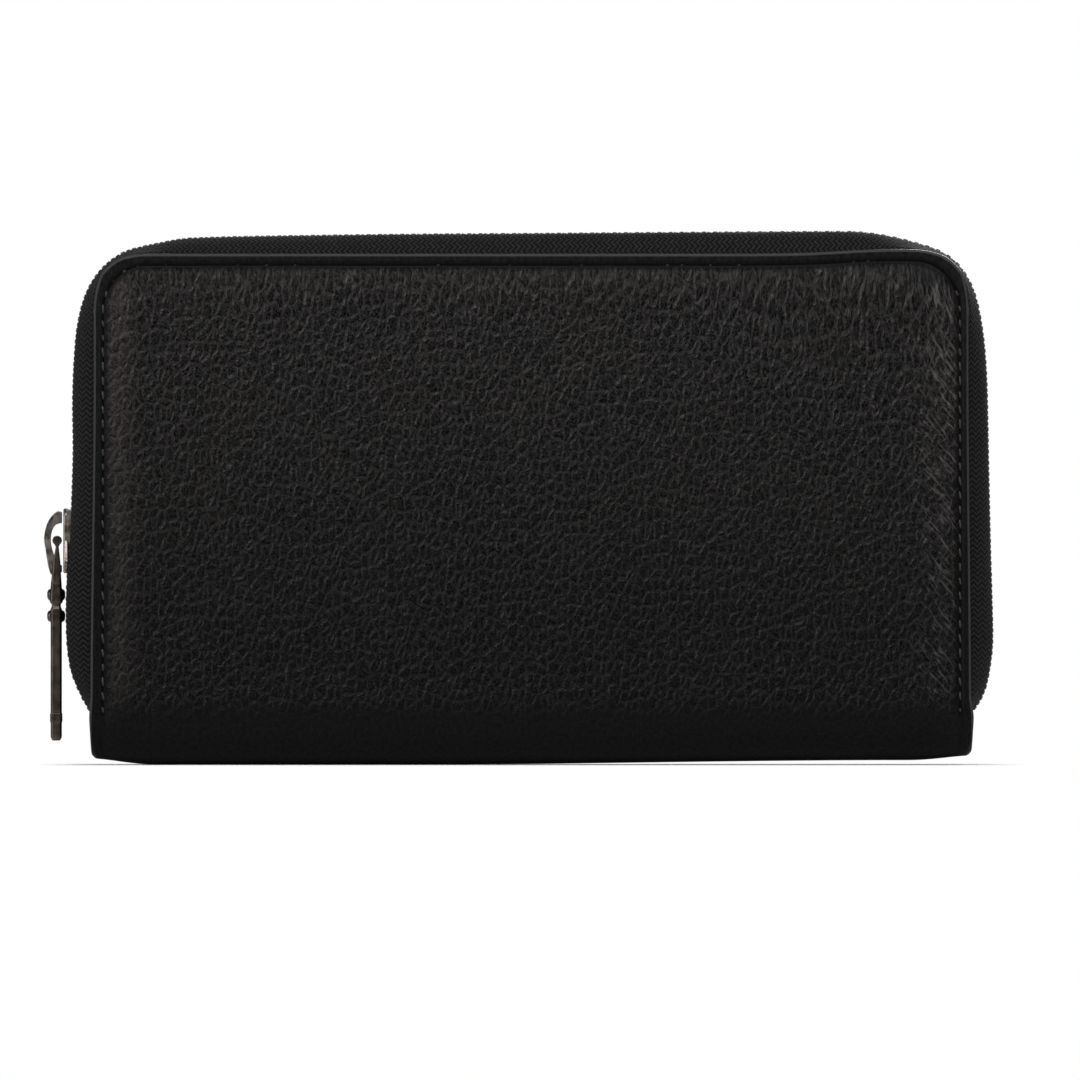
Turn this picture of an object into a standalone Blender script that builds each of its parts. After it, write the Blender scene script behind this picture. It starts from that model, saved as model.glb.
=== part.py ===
"""A zip-around long wallet, closed and standing on its spine.

The front cover faces -Y, +Z is up, and the zip slider is at the left, on the -X side.
The origin is the middle of the spine's flat resting face. Sizes are in metres.
"""

import math

import bmesh
import bpy

MM = 0.001
GAP = 0.3 * MM  # the running gap between two pieces that touch

# Covers
COVER_WIDTH = 190.5 * MM
COVER_TOP = 110.0 * MM
COVER_CORNER = 12.5 * MM
RIM_FACE = 11.0 * MM  # from the middle of the wallet to a cover's flat rim
LEATHER = 1.2 * MM
PUFF = 1.8 * MM  # how far the padded panel stands above the rim
HEM_WIDTH = 2.6 * MM  # the smooth turned edge outside the stitch groove
GROOVE_WIDTH = 1.0 * MM
GROOVE_DEPTH = 0.35 * MM
SHOULDER_WIDTH = 10.0 * MM  # the run from the groove to the full height of the panel
FOLD_HEIGHT = 10.7 * MM  # where the spine ends and a cover begins
CORNER_STEPS = 6

# Spine
SPINE_FLAT = 5.0 * MM  # half the width of the flat strip that the wallet stands on
SPINE_END_LIFT = 2.4 * MM
SPINE_STEPS = 5

# Lining and cards
PADDING_INSET = 6.0 * MM
PADDING_BACK = 0.7 * MM
LINING = 0.6 * MM
LINING_INSET = 1.6 * MM
CARD_PANEL = 0.6 * MM
CARD_PANEL_INSET = 4.2 * MM
CARD_PANEL_TOP = COVER_TOP - 7.0 * MM
CARD_STRIP = 0.5 * MM
CARD_STRIP_GAP = 0.2 * MM
CARD_STRIP_INSET = 5.0 * MM
CARD_STRIP_STEP = 11.0 * MM
CARD_STRIPS = 3
CARD_STRIP_CORNER = 2.0 * MM

# Main zip
TAPE = 0.6 * MM
TAPE_SEWN_INSET = 4.6 * MM
TAPE_EDGE_INSET = 0.6 * MM
TAPE_KNEE_DEPTH = RIM_FACE - 3.8 * MM
CHAIN_HALF_WIDTH = COVER_WIDTH / 2 + 2.75 * MM
CHAIN_TOP = COVER_TOP + 3.4 * MM
CHAIN_CORNER = 22.0 * MM
CHAIN_START = FOLD_HEIGHT + 1.3 * MM
CHAIN_TURN_IN = 4.0 * MM  # the ends of the chain run in to the covers' edges
CHAIN_TURN_HEIGHT = CHAIN_START + 12.0 * MM
TOOTH_PITCH = 2.4 * MM
TOOTH_LENGTH = 1.0 * MM
TOOTH_HEIGHT = 2.4 * MM
TOOTH_REACH = 0.6 * MM  # how far a tooth passes the middle of the chain
TOOTH_HEEL = 2.7 * MM
CORD_HEIGHT = 1.3 * MM
CORD_WIDTH = 1.4 * MM
STOP_LENGTH = 1.8 * MM
STOP_HEIGHT = 2.0 * MM
STOP_EDGE = 0.2 * MM
ROW_SPREAD = 1.9 * MM  # each row stands aside below the slider

# Slider
SLIDER_HEIGHT = 48.2 * MM
SLIDER_LENGTH = 14.0 * MM
SLIDER_PLATE = 1.15 * MM
SLIDER_CLEARANCE = 0.45 * MM
SLIDER_NECK_WALL = 0.8 * MM
SLIDER_EDGE = 0.25 * MM
FLANGE_LENGTH = 7.9 * MM
FLANGE_SLOT = 0.65 * MM
FLANGE_SLOT_INNER = 0.85 * MM
DIAMOND_LENGTH = 2.2 * MM
DIAMOND_STEPS = 3
CROWN_WIDTH = 2.0 * MM
CROWN_BAND = 1.5 * MM  # the hook's thickness where it is furthest out
CROWN_TIP_BAND = 2.4 * MM
CROWN_TOP = 6.4 * MM  # above the slider's middle
CROWN_BOTTOM = 7.6 * MM  # below it
CROWN_STEPS = 2

# Puller
EYE_RADIUS = 1.05 * MM
PULLER_WIDTH = 5.0 * MM
PULLER_THICKNESS = 2.4 * MM
PULLER_LEAN = 0.2 * MM  # the bar hangs this far outside its eye
PULLER_LENGTH = 43.1 * MM
EYE_HEIGHT = SLIDER_HEIGHT + 0.1 * MM
WINDOW_LENGTH = 8.9 * MM
NECK_TIP = 0.6 * MM  # the neck's thickness just below the eye
NECK_FOOT = 2.8 * MM
RIVET_RADIUS = 1.3 * MM
RIVET_PROUD = 0.75 * MM
RIVET_SPACING = 4.6 * MM
RIVET_SIDES = 12
FIRST_RIVET = WINDOW_LENGTH + 2.8 * MM
BAND_LENGTH = 1.6 * MM
CAP_LENGTH = 4.1 * MM

# Coin pocket
COIN_WALL = 0.6 * MM
COIN_HOLLOW = 0.6 * MM
COIN_HALF_WIDTH = COVER_WIDTH / 2 - 7.25 * MM
COIN_TOP = COVER_TOP - 22.0 * MM
COIN_CHAIN_HEIGHT = COIN_TOP + 4.2 * MM
COIN_CHAIN_START = 18.0 * MM - COIN_HALF_WIDTH
COIN_CHAIN_END = COIN_HALF_WIDTH - 8.0 * MM
COIN_TAPE = 0.5 * MM
COIN_TAPE_RISE = COIN_CHAIN_HEIGHT - COIN_TOP - 1.3 * MM  # to where it turns upright
COIN_TAPE_FLARE = 0.1 * MM
COIN_TAPE_START = 8.0 * MM  # how far it runs past the teeth
COIN_TAPE_END = 4.0 * MM
COIN_PITCH = 3.0 * MM
COIN_TOOTH_LENGTH = 1.1 * MM
COIN_TOOTH_HEIGHT = 1.6 * MM
COIN_TOOTH_REACH = 0.4 * MM
COIN_TOOTH_HEEL = 1.9 * MM
COIN_CORD_WIDTH = 1.0 * MM
COIN_SLIDER_PLATE = 0.8 * MM
COIN_SLIDER_CLEARANCE = 0.35 * MM
COIN_SLIDER_LENGTH = 9.0 * MM
COIN_SLIDER_WIDTH = 5.2 * MM
COIN_BAIL_RADIUS = 0.45 * MM
COIN_BAIL_SPAN = 5.8 * MM
COIN_EYE = 1.0 * MM
COIN_PULL_THICKNESS = 1.0 * MM
COIN_PULL_WIDTH = 4.4 * MM
COIN_PULL_LENGTH = 13.0 * MM
COIN_PULL_WINDOW = 4.6 * MM

# Gussets
GUSSET = 0.4 * MM
GUSSET_EDGE = COVER_WIDTH / 2 - 4.25 * MM
GUSSET_FOLD_TOP = 22.0 * MM  # the fold is deeper where the covers part farther
GUSSET_FOLD_BOTTOM = 4.0 * MM
GUSSET_TOP = COIN_TOP - 2.0 * MM
GUSSET_STEPS = 12

HALF_WIDTH = COVER_WIDTH / 2
COVER_BOTTOM = FOLD_HEIGHT + GAP
GUSSET_BOTTOM = COVER_BOTTOM + 3.0 * MM
GROOVE_MIDDLE = HEM_WIDTH + GROOVE_WIDTH / 2
SHOULDER_START = HEM_WIDTH + GROOVE_WIDTH
FRONT, BACK = -1, 1
CORD_FACE = 1  # which of a row section's four sides the teeth grow from


# --- Profiles -----------------------------------------------------------------


def cover_face():
    """(inset from the cover's edge, height over the rim) from the edge to the full panel."""
    return [
        (0.0, -LEATHER / 2),
        (0.4 * LEATHER, -0.02 * MM),
        (HEM_WIDTH, 0.0),
        (GROOVE_MIDDLE, -GROOVE_DEPTH),
        (SHOULDER_START, 0.05 * PUFF),
        (SHOULDER_START + 0.14 * SHOULDER_WIDTH, 0.55 * PUFF),
        (SHOULDER_START + 0.44 * SHOULDER_WIDTH, 0.9 * PUFF),
        (SHOULDER_START + SHOULDER_WIDTH, PUFF),
    ]


def cover_lining_face():
    """The same from the panel's inner side back to the edge, one thickness of leather behind."""
    shoulder = SHOULDER_START + GAP
    return [
        (shoulder + SHOULDER_WIDTH, PUFF - LEATHER),
        (shoulder + 0.5 * SHOULDER_WIDTH, 0.85 * PUFF - LEATHER),
        (shoulder + 0.2 * SHOULDER_WIDTH, 0.5 * PUFF - LEATHER),
        (shoulder, -0.98 * LEATHER),
        (0.0, -LEATHER),
    ]


def smooth(share):
    share = min(max(share, 0.0), 1.0)
    return share * share * (3 - 2 * share)


def panel_outline(half_width, bottom, top, corner):
    """(x, z) round a panel with square lower corners and rounded upper ones."""
    arc = [0.5 * math.pi * step / CORNER_STEPS for step in range(CORNER_STEPS + 1)]
    left = [
        (-half_width + corner * (1 - math.cos(a)), top - corner * (1 - math.sin(a)))
        for a in arc
    ]
    right = [(-x, z) for x, z in reversed(left)]
    return [(-half_width, bottom), *left, *right, (half_width, bottom)]


def cover_outline(inset):
    corner = max(COVER_CORNER - inset, 1.0 * MM)
    return panel_outline(HALF_WIDTH - inset, COVER_BOTTOM, COVER_TOP - inset, corner)


def spine_lift(inset):
    """How far the spine's underside rises at its two ends."""
    return SPINE_END_LIFT * (1 - smooth(inset / (SHOULDER_START + SHOULDER_WIDTH))) ** 2


def spine_arc(half_depth, low):
    """(y, z) of a U from the back fold, under the spine, to the front fold."""
    angles = [0.5 * math.pi * step / SPINE_STEPS for step in range(SPINE_STEPS + 1)]
    side = [
        (
            SPINE_FLAT + (half_depth - SPINE_FLAT) * math.cos(a),
            FOLD_HEIGHT - (FOLD_HEIGHT - low) * math.sin(a),
        )
        for a in angles
    ]
    return side + [(-y, z) for y, z in reversed(side)]


# --- The chain's path ---------------------------------------------------------


def chain_length():
    side = CHAIN_TOP - CHAIN_CORNER - CHAIN_START
    top = 2 * (CHAIN_HALF_WIDTH - CHAIN_CORNER)
    return 2 * side + math.pi * CHAIN_CORNER + top


def chain_point(s):
    """(x, z, outward x, outward z) at arc length s from the lower left end."""
    side = CHAIN_TOP - CHAIN_CORNER - CHAIN_START
    arc = 0.5 * math.pi * CHAIN_CORNER
    half = chain_length() / 2
    if s > half:
        x, z, out_x, out_z = chain_point(2 * half - s)
        return -x, z, -out_x, out_z
    if s <= side:
        z = CHAIN_START + s
        return -CHAIN_HALF_WIDTH + turn_in(z), z, -1.0, 0.0
    if s <= side + arc:
        angle = (s - side) / CHAIN_CORNER
        x = -CHAIN_HALF_WIDTH + CHAIN_CORNER * (1 - math.cos(angle))
        z = CHAIN_TOP - CHAIN_CORNER * (1 - math.sin(angle))
        return x, z, -math.cos(angle), math.sin(angle)
    x = -CHAIN_HALF_WIDTH + CHAIN_CORNER + (s - side - arc)
    return x, CHAIN_TOP, 0.0, 1.0


def turn_in(z):
    """How far the chain has run in towards the covers near its two ends."""
    run = CHAIN_TURN_HEIGHT - CHAIN_START
    return CHAIN_TURN_IN * max((CHAIN_TURN_HEIGHT - z) / run, 0.0) ** 2


def row_spread(x, z):
    """How far each row of teeth stands from its closed place: open below the slider."""
    if x > 0:
        return 0.0
    mouth = SLIDER_HEIGHT - SLIDER_LENGTH / 2
    neck = SLIDER_HEIGHT + SLIDER_LENGTH / 2 - FLANGE_LENGTH
    return ROW_SPREAD * smooth((neck - z) / (neck - mouth))


# --- Building blocks ----------------------------------------------------------


def clear_scene():
    for obj in list(bpy.data.objects):
        bpy.data.objects.remove(obj, do_unlink=True)
    for collection in list(bpy.data.collections):
        bpy.data.collections.remove(collection)


def make_collection(name, helpers=False):
    collection = bpy.data.collections.new(name)
    collection.hide_render = helpers
    bpy.context.scene.collection.children.link(collection)
    return collection


def make_material(name, colour, roughness, metallic=0.0):
    material = bpy.data.materials.new(name)
    material.use_nodes = True
    shader = material.node_tree.nodes["Principled BSDF"]
    shader.inputs["Base Color"].default_value = (*colour, 1.0)
    shader.inputs["Roughness"].default_value = roughness
    shader.inputs["Metallic"].default_value = metallic
    material.diffuse_color = (*colour, 1.0)
    return material


def make_axis(name, place, parent=None):
    axis = bpy.data.objects.new(name, None)
    axis.empty_display_size = 5 * MM
    PARTS.objects.link(axis)
    axis.parent = parent
    offset = axis_place(parent)
    axis.location = [p - o for p, o in zip(place, offset)]
    axis["place"] = list(place)
    return axis


def axis_place(axis):
    return list(axis["place"]) if axis else [0.0, 0.0, 0.0]


def add_part(name, mesh, material, parent):
    """Links a mesh made in world places, hung under the empty on its joint's axis."""
    part = bpy.data.objects.new(name, mesh)
    part.data.materials.append(material)
    PARTS.objects.link(part)
    part.parent = parent
    part.location = [-o for o in axis_place(parent)]
    part.data.shade_smooth()
    part.data.set_sharp_from_angle(angle=math.radians(35))
    return part


def mesh_of(bm, name):
    bmesh.ops.recalc_face_normals(bm, faces=bm.faces)
    mesh = bpy.data.meshes.new(name)
    bm.to_mesh(mesh)
    bm.free()
    return mesh


def skin(rings, left_out=()):
    """A bmesh of faces between successive rings, with flat ends, and the rings' vertices.

    left_out holds (ring, side) pairs whose face stays open.
    """
    bm = bmesh.new()
    loops = [[bm.verts.new(point) for point in ring] for ring in rings]
    count = len(loops[0])
    for number, (low, high) in enumerate(zip(loops, loops[1:])):
        for i in range(count):
            if (number, i) not in left_out:
                j = (i + 1) % count
                bm.faces.new((low[i], low[j], high[j], high[i]))
    bm.faces.new(loops[0])
    bm.faces.new(reversed(loops[-1]))
    return bm, loops


def loft(name, rings):
    """A closed skin through rings of as many points each, with flat ends."""
    return mesh_of(skin(rings)[0], name)


def flat_sheet(name, outline, low, high):
    """An (x, z) outline made solid between two depths along Y, as a 2D curve's extrusion."""
    curve = bpy.data.curves.new(name, "CURVE")
    curve.dimensions = "2D"
    curve.fill_mode = "BOTH"
    curve.extrude = abs(high - low) / 2
    spline = curve.splines.new("POLY")
    spline.points.add(len(outline) - 1)
    for point, (x, z) in zip(spline.points, outline):
        point.co = (x, z, 0.0, 1.0)
    spline.use_cyclic_u = True
    mesh = mesh_of_curve(curve)
    for vertex in mesh.vertices:
        x, z, depth = vertex.co
        vertex.co = (x, (low + high) / 2 + depth, z)
    mesh.flip_normals()
    return mesh


def mesh_of_curve(curve):
    """The welded mesh of a curve, which is then removed."""
    holder = bpy.data.objects.new(curve.name, curve)
    HELPERS.objects.link(holder)
    graph = bpy.context.evaluated_depsgraph_get()
    mesh = bpy.data.meshes.new_from_object(holder.evaluated_get(graph))
    bpy.data.objects.remove(holder)
    bm = bmesh.new()
    bm.from_mesh(mesh)
    bmesh.ops.remove_doubles(bm, verts=bm.verts, dist=0.001 * MM)
    bm.to_mesh(mesh)
    bm.free()
    return mesh


def tube(name, points, radius, resolution=2):
    """A round bar along points, with filled ends."""
    curve = bpy.data.curves.new(name, "CURVE")
    curve.dimensions = "3D"
    curve.bevel_depth = radius
    curve.bevel_resolution = resolution
    curve.use_fill_caps = True
    spline = curve.splines.new("POLY")
    spline.points.add(len(points) - 1)
    for point, place in zip(spline.points, points):
        point.co = (*place, 1.0)
    return mesh_of_curve(curve)


def box(name, low, high, edge=0.0):
    """A block between two corners, with its edges rounded."""
    bm = bmesh.new()
    bmesh.ops.create_cube(bm, size=1.0)
    for vertex in bm.verts:
        for axis in range(3):
            share = vertex.co[axis] + 0.5
            vertex.co[axis] = low[axis] + share * (high[axis] - low[axis])
    if edge:
        bmesh.ops.bevel(bm, geom=bm.edges, offset=edge, segments=2, affect="EDGES", profile=0.5)
    return mesh_of(bm, name)


def smooth_path(points, steps):
    """Points of a Catmull-Rom curve through the given ones."""
    padded = [points[0], *points, points[-1]]
    path = []
    for a, b, c, d in zip(padded, padded[1:], padded[2:], padded[3:]):
        for step in range(steps):
            t = step / steps
            path.append(
                tuple(
                    0.5 * (2 * q + (r - p) * t + (2 * p - 5 * q + 4 * r - s) * t * t
                           + (3 * q - p - 3 * r + s) * t ** 3)
                    for p, q, r, s in zip(a, b, c, d)
                )
            )
    return [*path, tuple(points[-1])]


def join(part, *meshes):
    """Unites more shapes with a part, each kept as a helper outside the render."""
    for number, mesh in enumerate(meshes):
        helper = bpy.data.objects.new(f"{part.name}_shape_{number}", mesh)
        HELPERS.objects.link(helper)
        helper.hide_render = True
        helper.display_type = "WIRE"
        helper.parent = part.parent
        helper.location = part.location
        union = part.modifiers.new(f"Join {number}", "BOOLEAN")
        union.operation = "UNION"
        union.solver = "EXACT"
        union.object = helper


# --- Covers and spine ---------------------------------------------------------


def make_cover(name, side, material, parent):
    """A cover: a smooth turned rim, the pressed stitch groove and the padded panel."""
    profile = cover_lining_face() + cover_face()
    rings = [
        [(x, side * (RIM_FACE + height), z) for x, z in cover_outline(inset)]
        for inset, height in profile
    ]
    return add_part(name, loft(name, rings), material, parent)


def make_padding(name, side, material, parent):
    """The foam that swells the panel, in the hollow of its cover."""
    back = -LEATHER - PADDING_BACK
    profile = [
        (PADDING_INSET, back),
        (PADDING_INSET, -LEATHER - GAP),
        (PADDING_INSET + 0.1 * SHOULDER_WIDTH, 0.3 * PUFF - LEATHER - GAP),
        (PADDING_INSET + 0.3 * SHOULDER_WIDTH, 0.7 * PUFF - LEATHER - GAP),
        (PADDING_INSET + SHOULDER_WIDTH, PUFF - LEATHER - GAP),
    ]
    rings = []
    for inset, height in profile:
        corner = max(COVER_CORNER - inset, 2.0 * MM)
        outline = panel_outline(HALF_WIDTH - inset, COVER_BOTTOM + GAP, COVER_TOP - inset, corner)
        rings.append([(x, side * (RIM_FACE + height), z) for x, z in outline])
    return add_part(name, loft(name, rings), material, parent)


def make_spine(material):
    """The leather that runs under the spine from one fold to the other."""
    stations = [(-HALF_WIDTH + inset, inset, height) for inset, height in cover_face()]
    stations += [(-x, inset, height) for x, inset, height in reversed(stations)]
    rings = []
    for x, inset, height in stations:
        depth = RIM_FACE + height
        low = spine_lift(inset)
        outer = spine_arc(depth, low)
        inner = spine_arc(depth - LEATHER, low + LEATHER)
        rings.append([(x, y, z) for y, z in outer + inner[::-1]])
    return add_part("spine_leather", loft("spine_leather", rings), material, None)


def make_spine_lining(material):
    half = HALF_WIDTH - LINING_INSET
    low = SPINE_END_LIFT + LEATHER + GAP
    depth = RIM_FACE - LEATHER - GAP - LEATHER / 2
    outer = spine_arc(depth, low)
    inner = spine_arc(depth - LINING, low + LINING)
    rings = [[(x, y, z) for y, z in outer + inner[::-1]] for x in (-half, half)]
    return add_part("spine_lining", loft("spine_lining", rings), material, None)


# --- Lining and card slots ----------------------------------------------------


def make_layers(prefix, side, materials, parent):
    """The lining, the card panel and its stepped strips, from a cover inwards."""
    face = RIM_FACE - LEATHER - PADDING_BACK - GAP
    bottom = COVER_BOTTOM + GAP
    corner = COVER_CORNER - LINING_INSET
    outline = panel_outline(HALF_WIDTH - LINING_INSET, bottom, COVER_TOP - LINING_INSET, corner)
    add_layer(f"{prefix}_lining", outline, side, face, LINING, materials["lining"], parent)
    face -= LINING + GAP
    corner = COVER_CORNER - CARD_PANEL_INSET
    outline = panel_outline(HALF_WIDTH - CARD_PANEL_INSET, bottom, CARD_PANEL_TOP, corner)
    add_layer(f"{prefix}_card_panel", outline, side, face, CARD_PANEL, materials["leather"], parent)
    face -= CARD_PANEL + CARD_STRIP_GAP
    for number in range(CARD_STRIPS):
        top = CARD_PANEL_TOP - (number + 1) * CARD_STRIP_STEP
        outline = panel_outline(HALF_WIDTH - CARD_STRIP_INSET, bottom, top, CARD_STRIP_CORNER)
        name = f"{prefix}_card_strip_{number + 1}"
        add_layer(name, outline, side, face, CARD_STRIP, materials["leather"], parent)
        face -= CARD_STRIP + CARD_STRIP_GAP


def add_layer(name, outline, side, face, thickness, material, parent):
    low, high = sorted((side * face, side * (face - thickness)))
    return add_part(name, flat_sheet(name, outline, low, high), material, parent)


def strips_face():
    """From the middle of the wallet to the innermost card strip."""
    layers = LEATHER + PADDING_BACK + GAP + LINING + GAP + CARD_PANEL
    strips = CARD_STRIPS * (CARD_STRIP + CARD_STRIP_GAP)
    return RIM_FACE - layers - strips


# --- Main zip -----------------------------------------------------------------


def tape_stations():
    """(x, z, outward x, outward z) along the tape, closer together round the corners."""
    side = CHAIN_TOP - CHAIN_CORNER - CHAIN_START
    arc = 0.5 * math.pi * CHAIN_CORNER
    stretches = [
        (0.0, CHAIN_TURN_HEIGHT - CHAIN_START, 5),
        (CHAIN_TURN_HEIGHT - CHAIN_START, SLIDER_HEIGHT - CHAIN_START, 7),
        (SLIDER_HEIGHT - CHAIN_START, side, 2),
        (side, side + arc, 8),
        (side + arc, chain_length() / 2, 1),
    ]
    left = [
        start + (end - start) * step / steps
        for start, end, steps in stretches
        for step in range(steps)
    ]
    return left + [chain_length() / 2] + [chain_length() - s for s in reversed(left)]


def cover_edge_point(s, inset):
    """The point of the cover's edge that faces the chain at arc length s."""
    half = chain_length() / 2
    if s > half:
        x, z, out_x, out_z = cover_edge_point(2 * half - s, inset)
        return -x, z, -out_x, out_z
    side = CHAIN_TOP - CHAIN_CORNER - CHAIN_START
    arc = 0.5 * math.pi * CHAIN_CORNER
    radius = COVER_CORNER - inset
    straight = COVER_TOP - COVER_CORNER - CHAIN_START
    if s <= side:
        return -HALF_WIDTH + inset, CHAIN_START + straight * s / side, -1.0, 0.0
    if s <= side + arc:
        angle = (s - side) / CHAIN_CORNER
        x = -HALF_WIDTH + COVER_CORNER - radius * math.cos(angle)
        z = COVER_TOP - COVER_CORNER + radius * math.sin(angle)
        return x, z, -math.cos(angle), math.sin(angle)
    start = -HALF_WIDTH + COVER_CORNER
    share = (s - side - arc) / (half - side - arc)
    return start * (1 - share), COVER_TOP - inset, 0.0, 1.0


def make_tape(name, side, material, parent):
    """One zip tape: sewn flat under the cover's rim, turned outwards and up to the teeth."""
    sewn_depth = RIM_FACE - LEATHER - GAP - TAPE / 2
    chain_side = TOOTH_HEEL + GAP
    rings = []
    for s in tape_stations():
        sewn = cover_edge_point(s, TAPE_SEWN_INSET)
        edge = cover_edge_point(s, TAPE_EDGE_INSET)
        tip = chain_point(s)
        spread = row_spread(tip[0], tip[1])
        knee = [0.35 * e + 0.65 * t for e, t in zip(edge, tip)]
        line = [
            (sewn, sewn_depth, 0.0, 1.0),
            (edge, sewn_depth, 0.5, 0.85),
            (knee, TAPE_KNEE_DEPTH + spread / 2, 0.8, 0.6),
            (tip, chain_side + spread, 1.0, 0.0),
        ]
        outer = [tape_point(side, *point, TAPE / 2) for point in line]
        inner = [tape_point(side, *point, -TAPE / 2) for point in line]
        rings.append(outer + inner[::-1])
    return add_part(name, loft(name, rings), material, parent)


def tape_point(side, place, depth, out, across, offset):
    """A point of the tape's skin, moved off its middle along the section's own normal."""
    x, z, out_x, out_z = place
    return (
        x + out_x * out * offset,
        side * (depth + across * offset),
        z + out_z * out * offset,
    )


def make_teeth(name, side, material, parent):
    """A row of metal teeth clamped on its cord, half a pitch from the other row."""
    phase = 0.25 if side == FRONT else 0.75
    places = [0.0]
    for number in range(int(chain_length() / TOOTH_PITCH)):
        middle = (number + phase) * TOOTH_PITCH
        places += [middle - TOOTH_LENGTH / 2, middle + TOOTH_LENGTH / 2]
    places.append(chain_length())
    rings = [row_section(s, side, CORD_HEIGHT, TOOTH_HEEL - CORD_WIDTH) for s in places]
    starts = range(1, len(places) - 1, 2)
    bm, loops = skin(rings, {(start, CORD_FACE) for start in starts})
    for start in starts:
        ends = [grow_tooth(bm, loops[n], places[n], side) for n in (start, start + 1)]
        (low_root, low_tip), (high_root, high_tip) = ends
        for i in (0, 1):
            bm.faces.new((low_root[i], low_tip[i], high_tip[i], high_root[i]))
        bm.faces.new((low_tip[0], low_tip[1], high_tip[1], high_tip[0]))
        bm.faces.new((low_root[0], low_root[1], low_tip[1], low_tip[0]))
        bm.faces.new((high_root[0], high_tip[0], high_tip[1], high_root[1]))
    return add_part(name, mesh_of(bm, name), material, parent)


def grow_tooth(bm, loop, s, side):
    """The two corners of the cord's face at one end of a tooth, and the tooth's tip there."""
    tip = row_section(s, side, TOOTH_HEIGHT, -TOOTH_REACH)[CORD_FACE:CORD_FACE + 2]
    return loop[CORD_FACE:CORD_FACE + 2], [bm.verts.new(point) for point in tip]


def row_section(s, side, height, face):
    """Four corners of the row at arc length s, from its heel to the given face."""
    x, z, out_x, out_z = chain_point(s)
    spread = row_spread(x, z)
    half = height / 2
    return [
        (x + out_x * rise, side * (depth + spread), z + out_z * rise)
        for rise, depth in ((half, TOOTH_HEEL), (half, face), (-half, face), (-half, TOOTH_HEEL))
    ]


def make_end_stop(name, x, spread, sides, material, parent):
    """A clip under the first tooth of one row, or across both rows."""
    top = CHAIN_START - GAP
    half = STOP_HEIGHT / 2
    middle = math.copysign(CHAIN_HALF_WIDTH - CHAIN_TURN_IN - half / 2, x)
    depths = [side * (spread + reach) for side in sides for reach in (-TOOTH_REACH, TOOTH_HEEL)]
    low = (middle - half, min(depths), top - STOP_LENGTH)
    high = (middle + half, max(depths), top)
    return add_part(name, box(name, low, high, STOP_EDGE), material, parent)


# --- Slider and puller --------------------------------------------------------


def slider_outline(shrink):
    """(y, z) of a plate: narrow over the closed chain, flared to the mouth below it."""
    neck = TOOTH_HEEL + GAP + SLIDER_NECK_WALL - shrink
    mouth = TOOTH_HEEL + ROW_SPREAD + GAP + SLIDER_NECK_WALL - shrink
    half = SLIDER_LENGTH / 2 - shrink
    side = [
        (0.45 * neck, half),
        (0.85 * neck, half - 0.5 * MM),
        (neck, half - 1.6 * MM),
        (neck, half - FLANGE_LENGTH + 1.0 * MM),
        (0.5 * (neck + mouth), half - FLANGE_LENGTH - 1.2 * MM),
        (mouth, -half + 2.4 * MM),
        (0.96 * mouth, -half + 1.0 * MM),
        (0.8 * mouth, -half),
    ]
    return side + [(-y, z) for y, z in reversed(side)]


def slider_plate(name, low, high):
    """A stamped plate with softened edges, between two places along X."""
    edge = SLIDER_EDGE
    levels = [(low, edge), (low + edge, 0.0), (high - edge, 0.0), (high, edge)]
    rings = [[(x, y, SLIDER_HEIGHT + z) for y, z in slider_outline(shrink)] for x, shrink in levels]
    return loft(name, rings)


def make_slider(material, parent):
    """Two plates joined by the wedge that parts the rows, with flanges along the tape."""
    channel = TOOTH_HEIGHT / 2 + SLIDER_CLEARANCE
    outer = -CHAIN_HALF_WIDTH - channel
    inner = -CHAIN_HALF_WIDTH + channel
    body = slider_plate("slider_body", outer - SLIDER_PLATE, outer)
    part = add_part("slider_body", body, material, parent)
    top = SLIDER_HEIGHT + SLIDER_LENGTH / 2 - SLIDER_EDGE
    wall = TOOTH_HEEL + GAP
    shapes = [slider_plate("inner_plate", inner, inner + SLIDER_PLATE)]
    shapes.append(slider_wedge(outer, inner))
    for side in (FRONT, BACK):
        low_y, high_y = sorted((side * wall, side * (wall + SLIDER_NECK_WALL)))
        bottom = top - FLANGE_LENGTH
        overlap = SLIDER_PLATE / 2
        ends = (outer - overlap, -CHAIN_HALF_WIDTH - FLANGE_SLOT)
        shapes.append(box("flange", (ends[0], low_y, bottom), (ends[1], high_y, top), 0.15 * MM))
        ends = (-CHAIN_HALF_WIDTH + FLANGE_SLOT_INNER, inner + overlap)
        shapes.append(box("flange", (ends[0], low_y, bottom), (ends[1], high_y, top), 0.15 * MM))
    join(part, *shapes)
    return part


def slider_wedge(outer, inner):
    """The diamond between the plates, wide at the mouth and pointed where the rows meet."""
    low = SLIDER_HEIGHT - SLIDER_LENGTH / 2 + SLIDER_EDGE
    heights = [low + DIAMOND_LENGTH * step / DIAMOND_STEPS for step in range(DIAMOND_STEPS + 1)]
    flank = [(wedge_half(z), z) for z in heights]
    flank[0] = (0.6 * wedge_half(low), low)
    outline = flank + [(-y, z) for y, z in reversed(flank)]
    overlap = SLIDER_PLATE / 2
    ends = (outer - overlap, inner + overlap)
    return loft("wedge", [[(x, y, z) for y, z in outline] for x in ends])


def wedge_half(z):
    """Half the wedge's width where the rows' teeth leave room for it."""
    return row_spread(-CHAIN_HALF_WIDTH, z) - TOOTH_REACH - GAP


def slider_face():
    """The outside of the slider's outer plate, along X."""
    return -CHAIN_HALF_WIDTH - TOOTH_HEIGHT / 2 - SLIDER_CLEARANCE - SLIDER_PLATE


def eye_place():
    return (slider_face() - GAP - EYE_RADIUS, 0.0, EYE_HEIGHT)


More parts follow.
